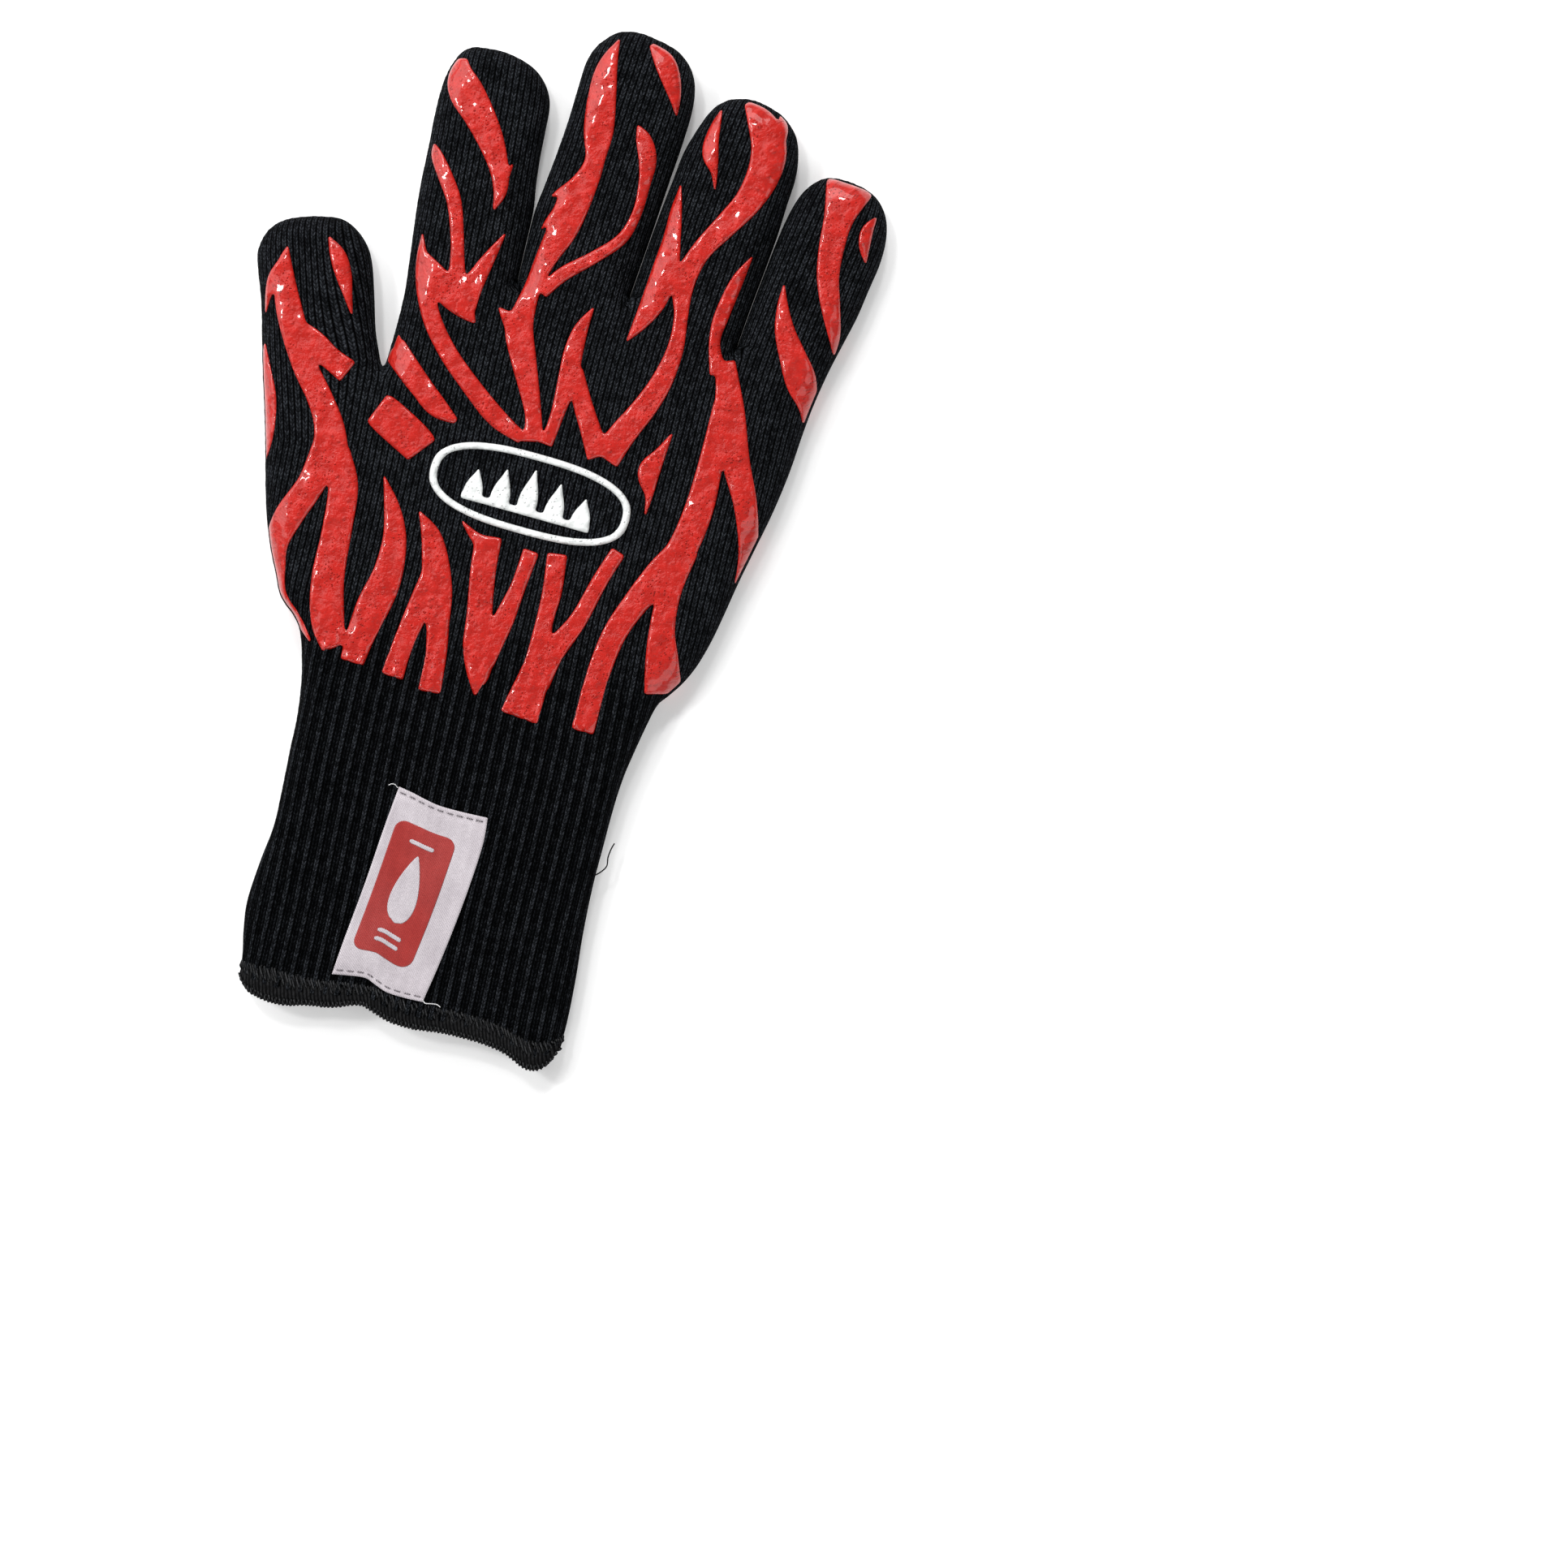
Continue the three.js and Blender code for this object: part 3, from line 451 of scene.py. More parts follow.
class Ground:
    """The flat ground inside closed loops, with the distance from any point to their edge."""

    def __init__(self, loops):
        self.loops = loops
        starts = np.vstack(loops)
        ends = np.vstack([np.roll(loop, -1, axis=0) for loop in loops])
        self.starts, self.ends = starts, ends
        fine = np.vstack([starts + (ends - starts) * t for t in (0, 0.25, 0.5, 0.75)])
        self.tree = KDTree(len(fine))
        for i, (x, y) in enumerate(fine):
            self.tree.insert((x, y, 0), i)
        self.tree.balance()

    def holds(self, points):
        """Whether each point is inside, by counting the edges to its right."""
        found = np.zeros(len(points), dtype=bool)
        (x1, y1), (x2, y2) = self.starts.T, self.ends.T
        slope = (x2 - x1) / np.where(y2 == y1, 1e-9, y2 - y1)
        for first in range(0, len(points), 4000):
            x, y = points[first : first + 4000].T[:, :, None]
            spans = (y1 > y) != (y2 > y)
            crossed = spans & (x < x1 + (y - y1) * slope)
            found[first : first + 4000] = crossed.sum(axis=1) % 2 == 1
        return found

    def depth(self, points):
        reach = np.array([self.tree.find((x, y, 0))[2] for x, y in points])
        return np.where(self.holds(points), reach, -reach)

    def way_out(self, points):
        """The direction out of the ground at the edge nearest to each point."""
        nearest = np.array([self.tree.find((x, y, 0))[1] for x, y in points]) % len(self.starts)
        run = (self.ends - self.starts)[nearest]
        run /= np.linalg.norm(run, axis=1)[:, None]
        return np.stack([run[:, 1], -run[:, 0]], axis=1)


GLOVE_LINE = smooth_line(OUTLINE, 1.0, closed=True)[::-1]
GLOVE = Ground([GLOVE_LINE])


def lane(points):
    """The finger, as an index into FINGERS, whose strip of ground each point is in."""
    x, y = points.T
    found = np.zeros(len(points), dtype=int)
    for line in GAP_LINES.values():
        gap = flat(line)
        found += x > np.interp(y, gap[:, 1], gap[:, 0])
    return found


def middle_of_base(finger):
    """How far beyond a finger's root hinge its root piece ends and its tip piece starts."""
    return past(finger + "_root", flat([HINGES[finger + "_middle"]["at"]]))[0] / 2


ZONES = ["cuff", "wrist", "palm"] + [f + end for f in FINGERS for end in ("_root", "_tip")]


def zone(points):
    """The piece of the glove, as an index into ZONES, that each point belongs to."""
    wrist = past("wrist", points)
    reach = BLEND_REACH + ROOT_MARGIN
    found = np.where(wrist < -reach, 0, np.where(wrist < reach, 1, 2))
    lanes = lane(points)
    for i, finger in enumerate(FINGERS):
        reach = past(finger + "_root", points)
        own = (lanes == i) & (points[:, 1] > FINGERS_START)
        found = np.where(own & (reach > ROOT_START[finger] - ROOT_MARGIN), 3 + 2 * i, found)
        found = np.where(own & (reach > middle_of_base(finger)), 4 + 2 * i, found)
    return found


def extra_length(depth, side):
    """How much longer the knit is than the flat ground under it, from a depth to where it lies flat."""
    reach, rise = (FACE_REACH, FACE - SEAM_HEIGHT) if side > 0 else (BACK_REACH, SEAM_HEIGHT - BACK)
    steps = np.linspace(0, reach, 80)
    length = np.hypot(np.diff(steps), np.diff(rise * bow(steps, reach)))
    gained = np.concatenate([[0], np.cumsum(length)]) - steps
    return np.interp(depth, steps, gained[-1] - gained)


def knit_lines(points, side=1):
    """Where each point lies on the knit, as a count of wales across and of courses along."""
    x, y = points.T
    wrapped = GLOVE.way_out(points) * extra_length(GLOVE.depth(points), side)[:, None]
    lanes = lane(points)
    leans = np.tan(np.radians([HINGES[finger + "_root"]["lean"] for finger in FINGERS]))
    centres = [HINGES[finger + "_root"]["at"][0] for finger in FINGERS[1:]]
    palm_lean = np.interp(x, centres, leans[1:])
    low, high = PALM_FAN
    ramp = np.clip(y - low, 0, high - low)
    across = x + palm_lean * ramp**2 / (2 * (high - low))
    beyond = np.clip(y - high, 0, None)
    across = across + np.where(lanes > 0, leans[lanes], palm_lean) * beyond * (lanes > 0)
    crotch_x, crotch_y = GAP_LINES["thumb_index"][1]
    fan = smooth(-x, -crotch_x, THUMB_FAN_REACH) * np.clip(y - THUMB_FAN, 0, crotch_y - THUMB_FAN)
    across = across + leans[0] * (fan + (lanes == 0) * np.clip(y - crotch_y, 0, None))
    sway = 0.5 * np.sin(y / 21) * np.sin(x / 34)
    along_wale = y + 0.8 * np.sin(x / 26)
    return (np.stack([across + sway, along_wale], axis=1) + wrapped) / np.array([WALE, COURSE])


def ribs(points, wales):
    """The rise and fall of the cuff's ribs, which fade into the jersey of the palm."""
    x, y = points.T
    fade = smooth(-y + 2.5 * ripple(x, y, 16, 5), -RIB_TOP[1], -RIB_TOP[0])
    wave = np.cos(math.pi * (wales - 0.5))
    return RIB_DEPTH * fade * np.sign(wave) * np.abs(wave) ** 0.8


def bow(depth, reach):
    """How far a puffed face has risen from its edge, 0 to 1, at a depth inside the edge."""
    return np.sqrt(np.clip(1 - (1 - np.clip(depth / reach, 0, 1)) ** 2, 0, 1))


def face_line(y):
    """The height of the puffed face, which sinks towards the mouth."""
    return MOUTH_FACE + (FACE - MOUTH_FACE) * smooth(y, *TAPER)


def face_height(points, depth, side=1, rib_share=1.0):
    """The height of the knit's upper face (side 1) or of the face it lies on (side -1)."""
    x, y = points.T
    ribbing = ribs(points, knit_lines(points, side)[:, 0]) * rib_share
    if side < 0:
        rise = bow(depth, BACK_REACH)
        return SEAM_HEIGHT - (SEAM_HEIGHT - BACK) * rise - 0.7 * ribbing * rise
    top = face_line(y) + 0.3 * ripple(x, y, 46, 11) + 0.16 * ripple(x, y, 15, 12)
    rise = bow(depth, FACE_REACH)
    return SEAM_HEIGHT + (top - SEAM_HEIGHT) * rise + ribbing * rise


def mouth_line(x):
    return 0.5 * (follow(HEM_BOTTOM, x) + follow(HEM_TOP, x))


def inward(loops):
    """For each point of the loops, the direction to their left."""
    normals = []
    for loop in loops:
        run = np.roll(loop, -1, axis=0) - np.roll(loop, 1, axis=0)
        run /= np.maximum(np.linalg.norm(run, axis=1), 1e-9)[:, None]
        normals.append(np.stack([-run[:, 1], run[:, 0]], axis=1))
    return np.vstack(normals)


def grid_over(low, high, columns, rows):
    """Points in rows over a box, as an array of rows, columns and XY."""
    across = np.arange(low[0], high[0], columns)
    up = np.arange(low[1], high[1], rows)
    return np.stack(np.meshgrid(across, up), axis=-1)


def fill(loops, depth_of, offsets, steps, keep=everywhere, holds=None):
    """Triangles over the ground inside closed loops, which run with the ground at their left. Rows of
    points run along the edge at the given offsets, and a grid with the given steps fills the middle.
    Triangles stay where holds says so, or else where depth_of is above zero."""
    edge = np.vstack(loops)
    normals = inward(loops)
    rows = [edge]
    for offset in offsets:
        row = edge + normals * offset
        rows.append(row[depth_of(row) > 0.86 * offset])
    low, high = edge.min(axis=0), edge.max(axis=0)
    for (across, up), area in steps:
        grid = grid_over(low, high, across, up)
        if across == up:
            grid[1::2, :, 0] += across * 0.5
        grid = grid.reshape(-1, 2)
        grid = grid[area(grid)]
        if len(grid):
            rows.append(grid[depth_of(grid) > offsets[-1] + 0.45 * across])
    inner = np.vstack(rows[1:])
    points = np.vstack([edge, inner[keep(inner)]])
    edges = []
    first = 0
    for loop in loops:
        count = len(loop)
        edges += [(first + i, first + (i + 1) % count) for i in range(count)]
        first += count
    made = delaunay_2d_cdt([Vector(p) for p in points], edges, [], 0, 1e-4, False)
    points = flat([tuple(v) for v in made[0]])
    faces = np.array([f for f in made[2] if len(f) == 3])
    centres = points[faces].mean(axis=1)
    faces = faces[holds(centres) if holds else depth_of(centres) > 0]
    a, b, c = (points[faces[:, i]] for i in range(3))
    turn = (b[:, 0] - a[:, 0]) * (c[:, 1] - a[:, 1]) - (b[:, 1] - a[:, 1]) * (c[:, 0] - a[:, 0])
    faces[turn < 0] = faces[turn < 0][:, ::-1]
    return points, faces[np.abs(turn) > 1e-5]


def closed_skin(faces, at_edge):
    """The faces over a piece of ground and, from copies of its points, those under it. The two share
    their points at the edge, and a face whose points all lie there is left out below."""
    count = len(at_edge)
    below = np.where(at_edge, np.arange(count), np.arange(count) + count)
    solid = ~np.all(at_edge[faces], axis=1)
    return np.vstack([faces, below[faces][solid][:, ::-1]])


def layers(spots, upper, lower):
    """The points of a skin's upper side, then those of its lower side."""
    return np.vstack([np.column_stack([spots, upper]), np.column_stack([spots, lower])])


def vertex_normals(points, faces):
    a, b, c = (points[faces[:, i]] for i in range(3))
    cross = np.cross(b - a, c - a)
    normals = np.zeros_like(points)
    for i in range(3):
        np.add.at(normals, faces[:, i], cross)
    return normals / np.maximum(np.linalg.norm(normals, axis=1), 1e-12)[:, None]


def in_frame(points):
    """Pattern millimetres as the frame's metres."""
    return (points - np.array([*PATTERN_CENTRE, 0])) / 1000


def new_piece(name, points, faces, look, uv=None, normals=None):
    """A mesh object from pattern points; faces are triangles or quads."""
    sides = faces.shape[1]
    used, faces = np.unique(faces, return_inverse=True)
    faces = faces.reshape(-1, sides)
    mesh = bpy.data.meshes.new(name)
    mesh.from_pydata(in_frame(points[used]).tolist(), [], faces.tolist())
    mesh.materials.append(look)
    mesh.polygons.foreach_set("use_smooth", [True] * len(mesh.polygons))
    if uv is not None:
        layer = mesh.uv_layers.new(name="Weave")
        layer.data.foreach_set("uv", uv[used][faces.ravel()].ravel())
    mesh.validate()
    mesh.update()
    if normals is not None:
        mesh.normals_split_custom_set_from_vertices(normals[used].tolist())
    piece = bpy.data.objects.new(name, mesh)
    bpy.context.collection.objects.link(piece)
    return piece


def follow_zone(piece, name):
    """Attaches a cuff or palm piece to its body. For any other piece it works out the two bodies, the
    hinge and the blend's ends, then only bakes the piece's transform.
    """
    if name in ("cuff", "palm"):
        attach(piece, name)
        return
    finger = name.split("_")[0]
    if name == "wrist":
        bodies, hinge, ends = ("palm", "cuff"), "wrist", (BLEND_REACH, -BLEND_REACH)
    elif name.endswith("_root"):
        bodies, hinge = ("palm", finger + "_base"), finger + "_root"
        ends = (ROOT_START[finger], BLEND_REACH)
    else:
        bodies, hinge = (finger + "_base", finger + "_tip"), finger + "_middle"
        ends = (-BLEND_REACH, BLEND_REACH)
    start, end = (flat(HINGES[hinge]["at"]) + along(hinge) * reach for reach in ends)
    start, end = (tuple(in_frame(np.array([*point, BLEND_HEIGHT]))) for point in (start, end))
    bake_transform(piece)


# ---------------------------------------------------------------------------------------- materials


class Look:
    """A material whose nodes are added by short calls. An argument is a number, a colour or a socket."""

    def __init__(self, name):
        self.material = bpy.data.materials.new(name)
        self.material.use_nodes = True
        self.tree = self.material.node_tree
        self.shader = self.tree.nodes["Principled BSDF"]

    def put(self, socket, value):
        if isinstance(value, bpy.types.NodeSocket):
            self.tree.links.new(value, socket)
        elif value is not None:
            socket.default_value = value

    def node(self, kind, inputs=(), output=0, **settings):
        made = self.tree.nodes.new("ShaderNode" + kind)
        for key, value in settings.items():
            setattr(made, key, value)
        for key, value in dict(inputs).items():
            self.put(made.inputs[key], value)
        return made.outputs[output]

    def math(self, operation, a, b=None, c=None):
        return self.node("Math", {0: a, 1: b, 2: c}, operation=operation)

    def product(self, value, *others):
        for other in others:
            value = self.math("MULTIPLY", value, other)
        return value

    def total(self, value, *others):
        for other in others:
            value = self.math("ADD", value, other)
        return value

    def step(self, value, low, high, to_low=0.0, to_high=1.0):
        """A smooth change from to_low to to_high while the value goes from low to high."""
        inputs = {0: value, 1: low, 2: high, 3: to_low, 4: to_high}
        return self.node("MapRange", inputs, interpolation_type="SMOOTHSTEP")

    def mix(self, factor, a, b):
        return self.node("Mix", {"Factor": factor, 6: a, 7: b}, output=2, data_type="RGBA")

    def noise(self, vector, scale, detail=2, roughness=0.5):
        inputs = {"Vector": vector, "Scale": scale, "Detail": detail, "Roughness": roughness}
        return self.node("TexNoise", inputs)

    def weave(self, across=1.0, up=1.0):
        """The piece's own Weave coordinates, scaled, as a vector and as its two numbers."""
        uv = self.node("UVMap", uv_map="Weave")
        vector = self.node("VectorMath", {0: uv, 1: (across, up, 1)}, operation="MULTIPLY")
        parts = self.node("SeparateXYZ", {0: vector})
        return vector, parts, parts.node.outputs[1]

    def cells(self, vector, scale):
        return self.node("TexVoronoi", {"Vector": vector, "Scale": scale, "Randomness": 1.0})

    def bump(self, height, distance, strength):
        return self.node("Bump", {"Height": height, "Distance": distance, "Strength": strength})

    def finish(self, **sockets):
        for key, value in sockets.items():
            self.put(self.shader.inputs[key.replace("_", " ")], value)
        return self.material


def grey(value):
    return (value, value, value, 1)


def knit_look(name, dark, light, contrast=1.0):
    """Knitted yarn: columns of V stitches, with painted light on their legs and painted shade in the
    gaps between them. Below the rib's top every second column is darkened, painted shade in the troughs
    between the ribs.
    """
    look = Look(name)
    _, wale, course = look.weave()
    millimetres, _, _ = look.weave(WALE, COURSE)
    place = look.math("FRACT", wale)
    aside = look.product(look.math("ABSOLUTE", look.math("SUBTRACT", place, 0.5)), 2.0)
    wander = look.product(look.noise(millimetres, 0.5, 1), 0.35)
    slanted = look.total(look.math("MULTIPLY_ADD", aside, -0.8, course), wander)
    from_middle = look.product(look.math("SUBTRACT", look.math("FRACT", slanted), 0.5), 2.0)
    # The V legs are painted light and the gaps between them painted shade; the legs darken towards their
    # ends.
    across = look.product(look.step(aside, 0.0, 0.34, 0.3, 1.0), look.step(aside, 0.52, 0.9, 1.0, 0.0))
    falling = look.product(look.math("POWER", look.math("ABSOLUTE", from_middle), 2.0), 0.85)
    leg = look.product(across, look.math("SUBTRACT", 1.0, falling))
    half = look.math("FLOOR", look.product(wale, 2.0))
    cell = look.node("CombineXYZ", {0: half, 1: look.math("FLOOR", slanted), 2: 0.0})
    chance = look.node("TexWhiteNoise", {"Vector": cell}, noise_dimensions="3D")
    tone = look.step(chance, 0.0, 1.0, 0.4, 1.5)
    cloud = look.step(look.noise(millimetres, 0.12, 3, 0.6), 0.3, 0.7, 0.72, 1.25)
    fuzz = look.noise(millimetres, 2.6, 3, 0.7)
    # Loose fibres of the fuzz painted lighter: painted sheen on the yarn.
    fuzz_sheen = look.step(fuzz, 0.42, 0.72, 0.4, 2.1)
    courses_high = look.total(course, look.product(look.noise(millimetres, 0.05, 1), 8.0))
    # Painted shade in the troughs between the ribs: below the rib's top every second column is darkened.
    ribbed = look.step(courses_high, RIB_TOP[0] / COURSE, RIB_TOP[1] / COURSE + 6, 1.0, 0.0)
    trough = look.math("MULTIPLY_ADD", look.math("SINE", look.product(wale, math.pi)), -0.5, 0.5)
    painted_trough_shade = look.product(look.math("POWER", trough, 1.6), ribbed, 0.85)
    shade = look.math("SUBTRACT", 1.0, painted_trough_shade)
    colour = look.mix(look.product(leg, tone, cloud, fuzz_sheen, shade, contrast), dark, light)
    yarn = look.total(leg, look.product(fuzz, 0.35))
    return look.finish(
        Base_Color=colour,
        Roughness=0.9,
        Specular_IOR_Level=0.02,
        Normal=look.bump(yarn, 0.0006, 0.9),
    )


def silicone_look(name, colour, pale, deep, rough):
    """Moulded silicone: glossy, softly wavy, with small blisters and pits. A few rougher patches carry
    paler specks, which are painted glints, and the hollows of the waves are painted darker as painted
    shade.
    """
    look = Look(name)
    place, _, _ = look.weave()
    waves = look.noise(place, 0.28, 3, 0.55)
    grain = look.noise(place, 1.7, 3, 0.6)
    blister = look.step(look.cells(place, 0.34), 0.0, 0.34, 1.0, 0.0)
    spots = look.step(look.cells(place, 0.9), 0.0, 0.3, 1.0, 0.0)
    where = look.step(look.noise(place, 0.07, 2), 0.42, 0.56)
    # Patches that are rougher and, where the grain is high, carry paler specks: painted glints.
    painted_glint_and_rough = look.step(look.noise(place, 0.11, 4, 0.7), 0.52, 0.72)
    patch = look.product(painted_glint_and_rough, look.step(grain, 0.5, 0.7), 0.5)
    # The hollows of the waves take the darker deep colour, painted shade; the crests keep the body colour.
    body = look.mix(look.step(waves, 0.35, 0.65), deep, colour)
    swell = look.total(look.product(waves, 0.95), look.product(grain, 0.16))
    height = look.total(swell, look.product(blister, 0.4), look.product(spots, where, 0.75))
    return look.finish(
        Base_Color=look.mix(patch, body, pale),
        Roughness=look.step(painted_glint_and_rough, 0.0, 1.0, rough, rough + 0.14),
        Specular_IOR_Level=0.25,
        Coat_Weight=0.6,
        Coat_Roughness=0.05,
        Normal=look.bump(height, 0.0011, 0.85),
    )


def thread_look(name, dark, light, scale=1.0):
    """Wound or spun thread: fine slanted fibres."""
    look = Look(name)
    place, across, up = look.weave(scale, scale)
    lines = look.math("SINE", look.product(look.math("MULTIPLY_ADD", up, 0.6, across), 9.0))
    fibres = look.noise(place, 2.4, 3, 0.7)
    tone = look.product(look.step(lines, -0.9, 0.7, 0.1, 1.0), look.step(fibres, 0.35, 0.7, 0.3, 1.0))
    return look.finish(
        Base_Color=look.mix(tone, dark, light),
        Roughness=0.85,
        Specular_IOR_Level=0.05,
        Normal=look.bump(look.total(fibres, look.product(lines, 0.3)), 0.0003, 0.8),
    )


def satin_look(name, base, shine, mottle):
    """Woven satin: fine diagonal floats with a silky sheen."""
    look = Look(name)
    place, across, up = look.weave()
    twill = look.math("SINE", look.product(look.total(across, up), 7.5))
    slub = look.noise(place, 0.9, 3, 0.6)
    cloud = look.step(look.noise(place, 0.1, 2), 0.3, 0.7)
    # The paler shine colour is partly the weave's floats and slubs, partly painted sheen along them and in
    # soft clouds.
    tone = look.total(look.product(twill, 0.16), look.product(slub, mottle), look.product(cloud, 0.25))
    return look.finish(
        Base_Color=look.mix(tone, base, shine),
        Roughness=0.46,
        Anisotropic=0.5,
        Sheen_Weight=0.2,
        Normal=look.bump(look.total(twill, look.product(slub, 1.2)), 0.00009, 0.7),
    )


def floor_look():
    look = Look("pale_floor")
    return look.finish(
        Base_Color=grey(0.9),
        Roughness=0.8,
        Emission_Color=grey(1),
        Emission_Strength=0.17,
    )


# Each look's colours run from shade to light, except the silicone's: its body, the pale colour of its
# painted glints and the darker colour of the painted shade in its hollows.
LOOKS = {
    "knit": knit_look("aramid_knit", (0.0002, 0.0002, 0.0003, 1), (0.046, 0.051, 0.06, 1), 0.62),
    "liner": knit_look("cotton_knit", (0.006, 0.006, 0.007, 1), (0.085, 0.088, 0.094, 1)),
    "hem": thread_look("hem_yarn", (0.0004, 0.0004, 0.0005, 1), (0.022, 0.022, 0.023, 1), 0.56),
    "chain": thread_look("chain_yarn", (0.002, 0.002, 0.0022, 1), (0.06, 0.061, 0.064, 1), 0.8),
    "silicone": silicone_look(
        "silicone_red", (0.5, 0.013, 0.008, 1), (0.64, 0.1, 0.075, 1), (0.4, 0.009, 0.005, 1), 0.34
    ),
    "badge": silicone_look(
        "badge_white", (0.82, 0.84, 0.83, 1), (0.9, 0.9, 0.9, 1), (0.72, 0.74, 0.73, 1), 0.5
    ),
    "satin": satin_look("white_satin", (0.42, 0.375, 0.405, 1), (0.7, 0.65, 0.685, 1), 0.5),
    "satin_red": satin_look("red_satin", (0.26, 0.012, 0.01, 1), (0.46, 0.04, 0.034, 1), 0.5),
    "thread": thread_look("label_thread", (0.1, 0.085, 0.095, 1), (0.45, 0.41, 0.44, 1)),
    "white_yarn": thread_look("white_yarn", (0.6, 0.6, 0.6, 1), (0.9, 0.9, 0.9, 1)),
}


# --------------------------------------------------------------------------------------------- knit


def cut_at_mouth(line):
    """The closed glove outline, ended by the mouth line, with the ground at its left."""
    inside = line[:, 1] > mouth_line(line[:, 0])
    start = int(np.argmax(inside & ~np.roll(inside, 1)))
    ordered = np.roll(line, -start, axis=0)
    ordered = ordered[np.roll(inside, -start)]
    first, last = ordered[0], ordered[-1]
    count = int(abs(first[0] - last[0]) / 1.0)
    x = np.linspace(last[0], first[0], count)[1:-1]
    return ordered, np.stack([x, mouth_line(x)], axis=1)


def make_knit():
    """The whole knit shell, upper and lower face joined at the outline, then one piece for each zone."""
    outline, mouth = cut_at_mouth(GLOVE_LINE)
    loop = np.vstack([outline, mouth])
    region = Ground([loop])

    def on_cuff(points):
        return points[:, 1] < CUFF_TOP

    def on_hand(points):
        return points[:, 1] >= CUFF_TOP

    offsets = (0.12, 0.5, 1.2, 2.3, 3.8)

    def keep(points):
        return region.depth(points) > offsets[0]

    steps = [((RIB / 6, 1.7), on_cuff), ((1.5, 1.5), on_hand)]
    spots, faces = fill([loop], GLOVE.depth, offsets, steps, keep, region.holds)
    depth = np.maximum(GLOVE.depth(spots), 0)
    count = len(spots)
    shared = depth < ON_EDGE
    below = np.where(shared, np.arange(count), np.arange(count) + count)
    points = layers(spots, face_height(spots, depth), face_height(spots, depth, -1))
    all_faces = np.vstack([faces, below[faces][:, ::-1]])
    normals = vertex_normals(points, all_faces)
    uv = np.vstack([knit_lines(spots, 1), knit_lines(spots, -1)])
    zones = zone(points[all_faces].mean(axis=1)[:, :2])
    pieces = {}
    for i, name in enumerate(ZONES):
        pieces[name] = new_piece(name + "_knit", points, all_faces[zones == i], LOOKS["knit"], uv, normals)
    return pieces


# -------------------------------------------------------------------------------------------- print


def blade_field(blade, points):
    """How deep each point is inside one blade, whose ends are cut square, below zero outside it."""
    line = smooth_line(blade, 1.2)
    found = np.full(len(points), -9.0)
    for a, b in zip(line, line[1:]):
        run = b[:2] - a[:2]
        reach = points - a[:2]
        t = np.clip(reach @ run / max(run @ run, 1e-9), 0, 1)
        away = np.linalg.norm(reach - t[:, None] * run, axis=1)
        found = np.maximum(found, 0.5 * (a[2] + (b[2] - a[2]) * t) - away)
    for tip, inner in ((line[0], line[1]), (line[-1], line[-2])):
        out = (tip[:2] - inner[:2]) / np.linalg.norm(tip[:2] - inner[:2])
        ahead = (points - tip[:2]) @ out
        close = np.linalg.norm(points - tip[:2], axis=1) < 0.75 * tip[2] + 0.5
        found = np.where(close, np.minimum(found, -ahead), found)
    return found


def joined(fields, softness=0.7):
    """The union of several fields, with the inner corners between them slightly rounded."""
    total = fields[0]
    for other in fields[1:]:
        h = np.clip(0.5 + 0.5 * (total - other) / softness, 0, 1)
        total = other + (total - other) * h + softness * h * (1 - h)
    return total


# For each set of a cell's corners that are inside, the sides at which a line enters and leaves it.
CORNER_LINES = {
    1: [(0, 3)], 2: [(1, 0)], 3: [(1, 3)], 4: [(2, 1)], 5: [(0, 3), (2, 1)], 6: [(2, 0)], 7: [(2, 3)],
    8: [(3, 2)], 9: [(0, 2)], 10: [(1, 0), (3, 2)], 11: [(1, 2)], 12: [(3, 1)], 13: [(0, 1)], 14: [(3, 0)],
}


def contours(field_of, low, high, cell):
    """Closed lines in a box where a field is zero, with the positive side at their left."""
    grid = grid_over(low, high, cell, cell)
    field = field_of(grid.reshape(-1, 2)).reshape(grid.shape[:2])
    inside = field > 0
    code = inside[:-1, :-1] * 1 + inside[:-1, 1:] * 2 + inside[1:, 1:] * 4 + inside[1:, :-1] * 8
    follows = {}
    places = {}
    for j, i in zip(*np.nonzero((code > 0) & (code < 15))):
        ends = [(i, j, 0), (i + 1, j, 1), (i, j + 1, 0), (i, j, 1)]
        for start, stop in CORNER_LINES[int(code[j, i])]:
            follows[ends[start]] = ends[stop]
            for key in (ends[start], ends[stop]):
                x, y, upright = key
                here = field[y, x]
                there = field[y + 1, x] if upright else field[y, x + 1]
                t = here / (here - there)
                right, up = (0, t) if upright else (t, 0)
                places[key] = (low[0] + cell * (x + right), low[1] + cell * (y + up))
    loops = []
    while follows:
        start = key = next(iter(follows))
        loop = []
        while key in follows:
            loop.append(places[key])
            key = follows.pop(key)
        if key == start and len(loop) > 8:
            loops.append(flat(loop))
    return loops


def relaxed(loop, spacing):
    """A closed loop with its grid steps ironed out and its points evenly apart."""
    for _ in range(2):
        loop = 0.25 * np.roll(loop, 1, axis=0) + 0.5 * loop + 0.25 * np.roll(loop, -1, axis=0)
    closed = np.vstack([loop, loop[:1]])
    return evenly(closed, spacing, closed=True)


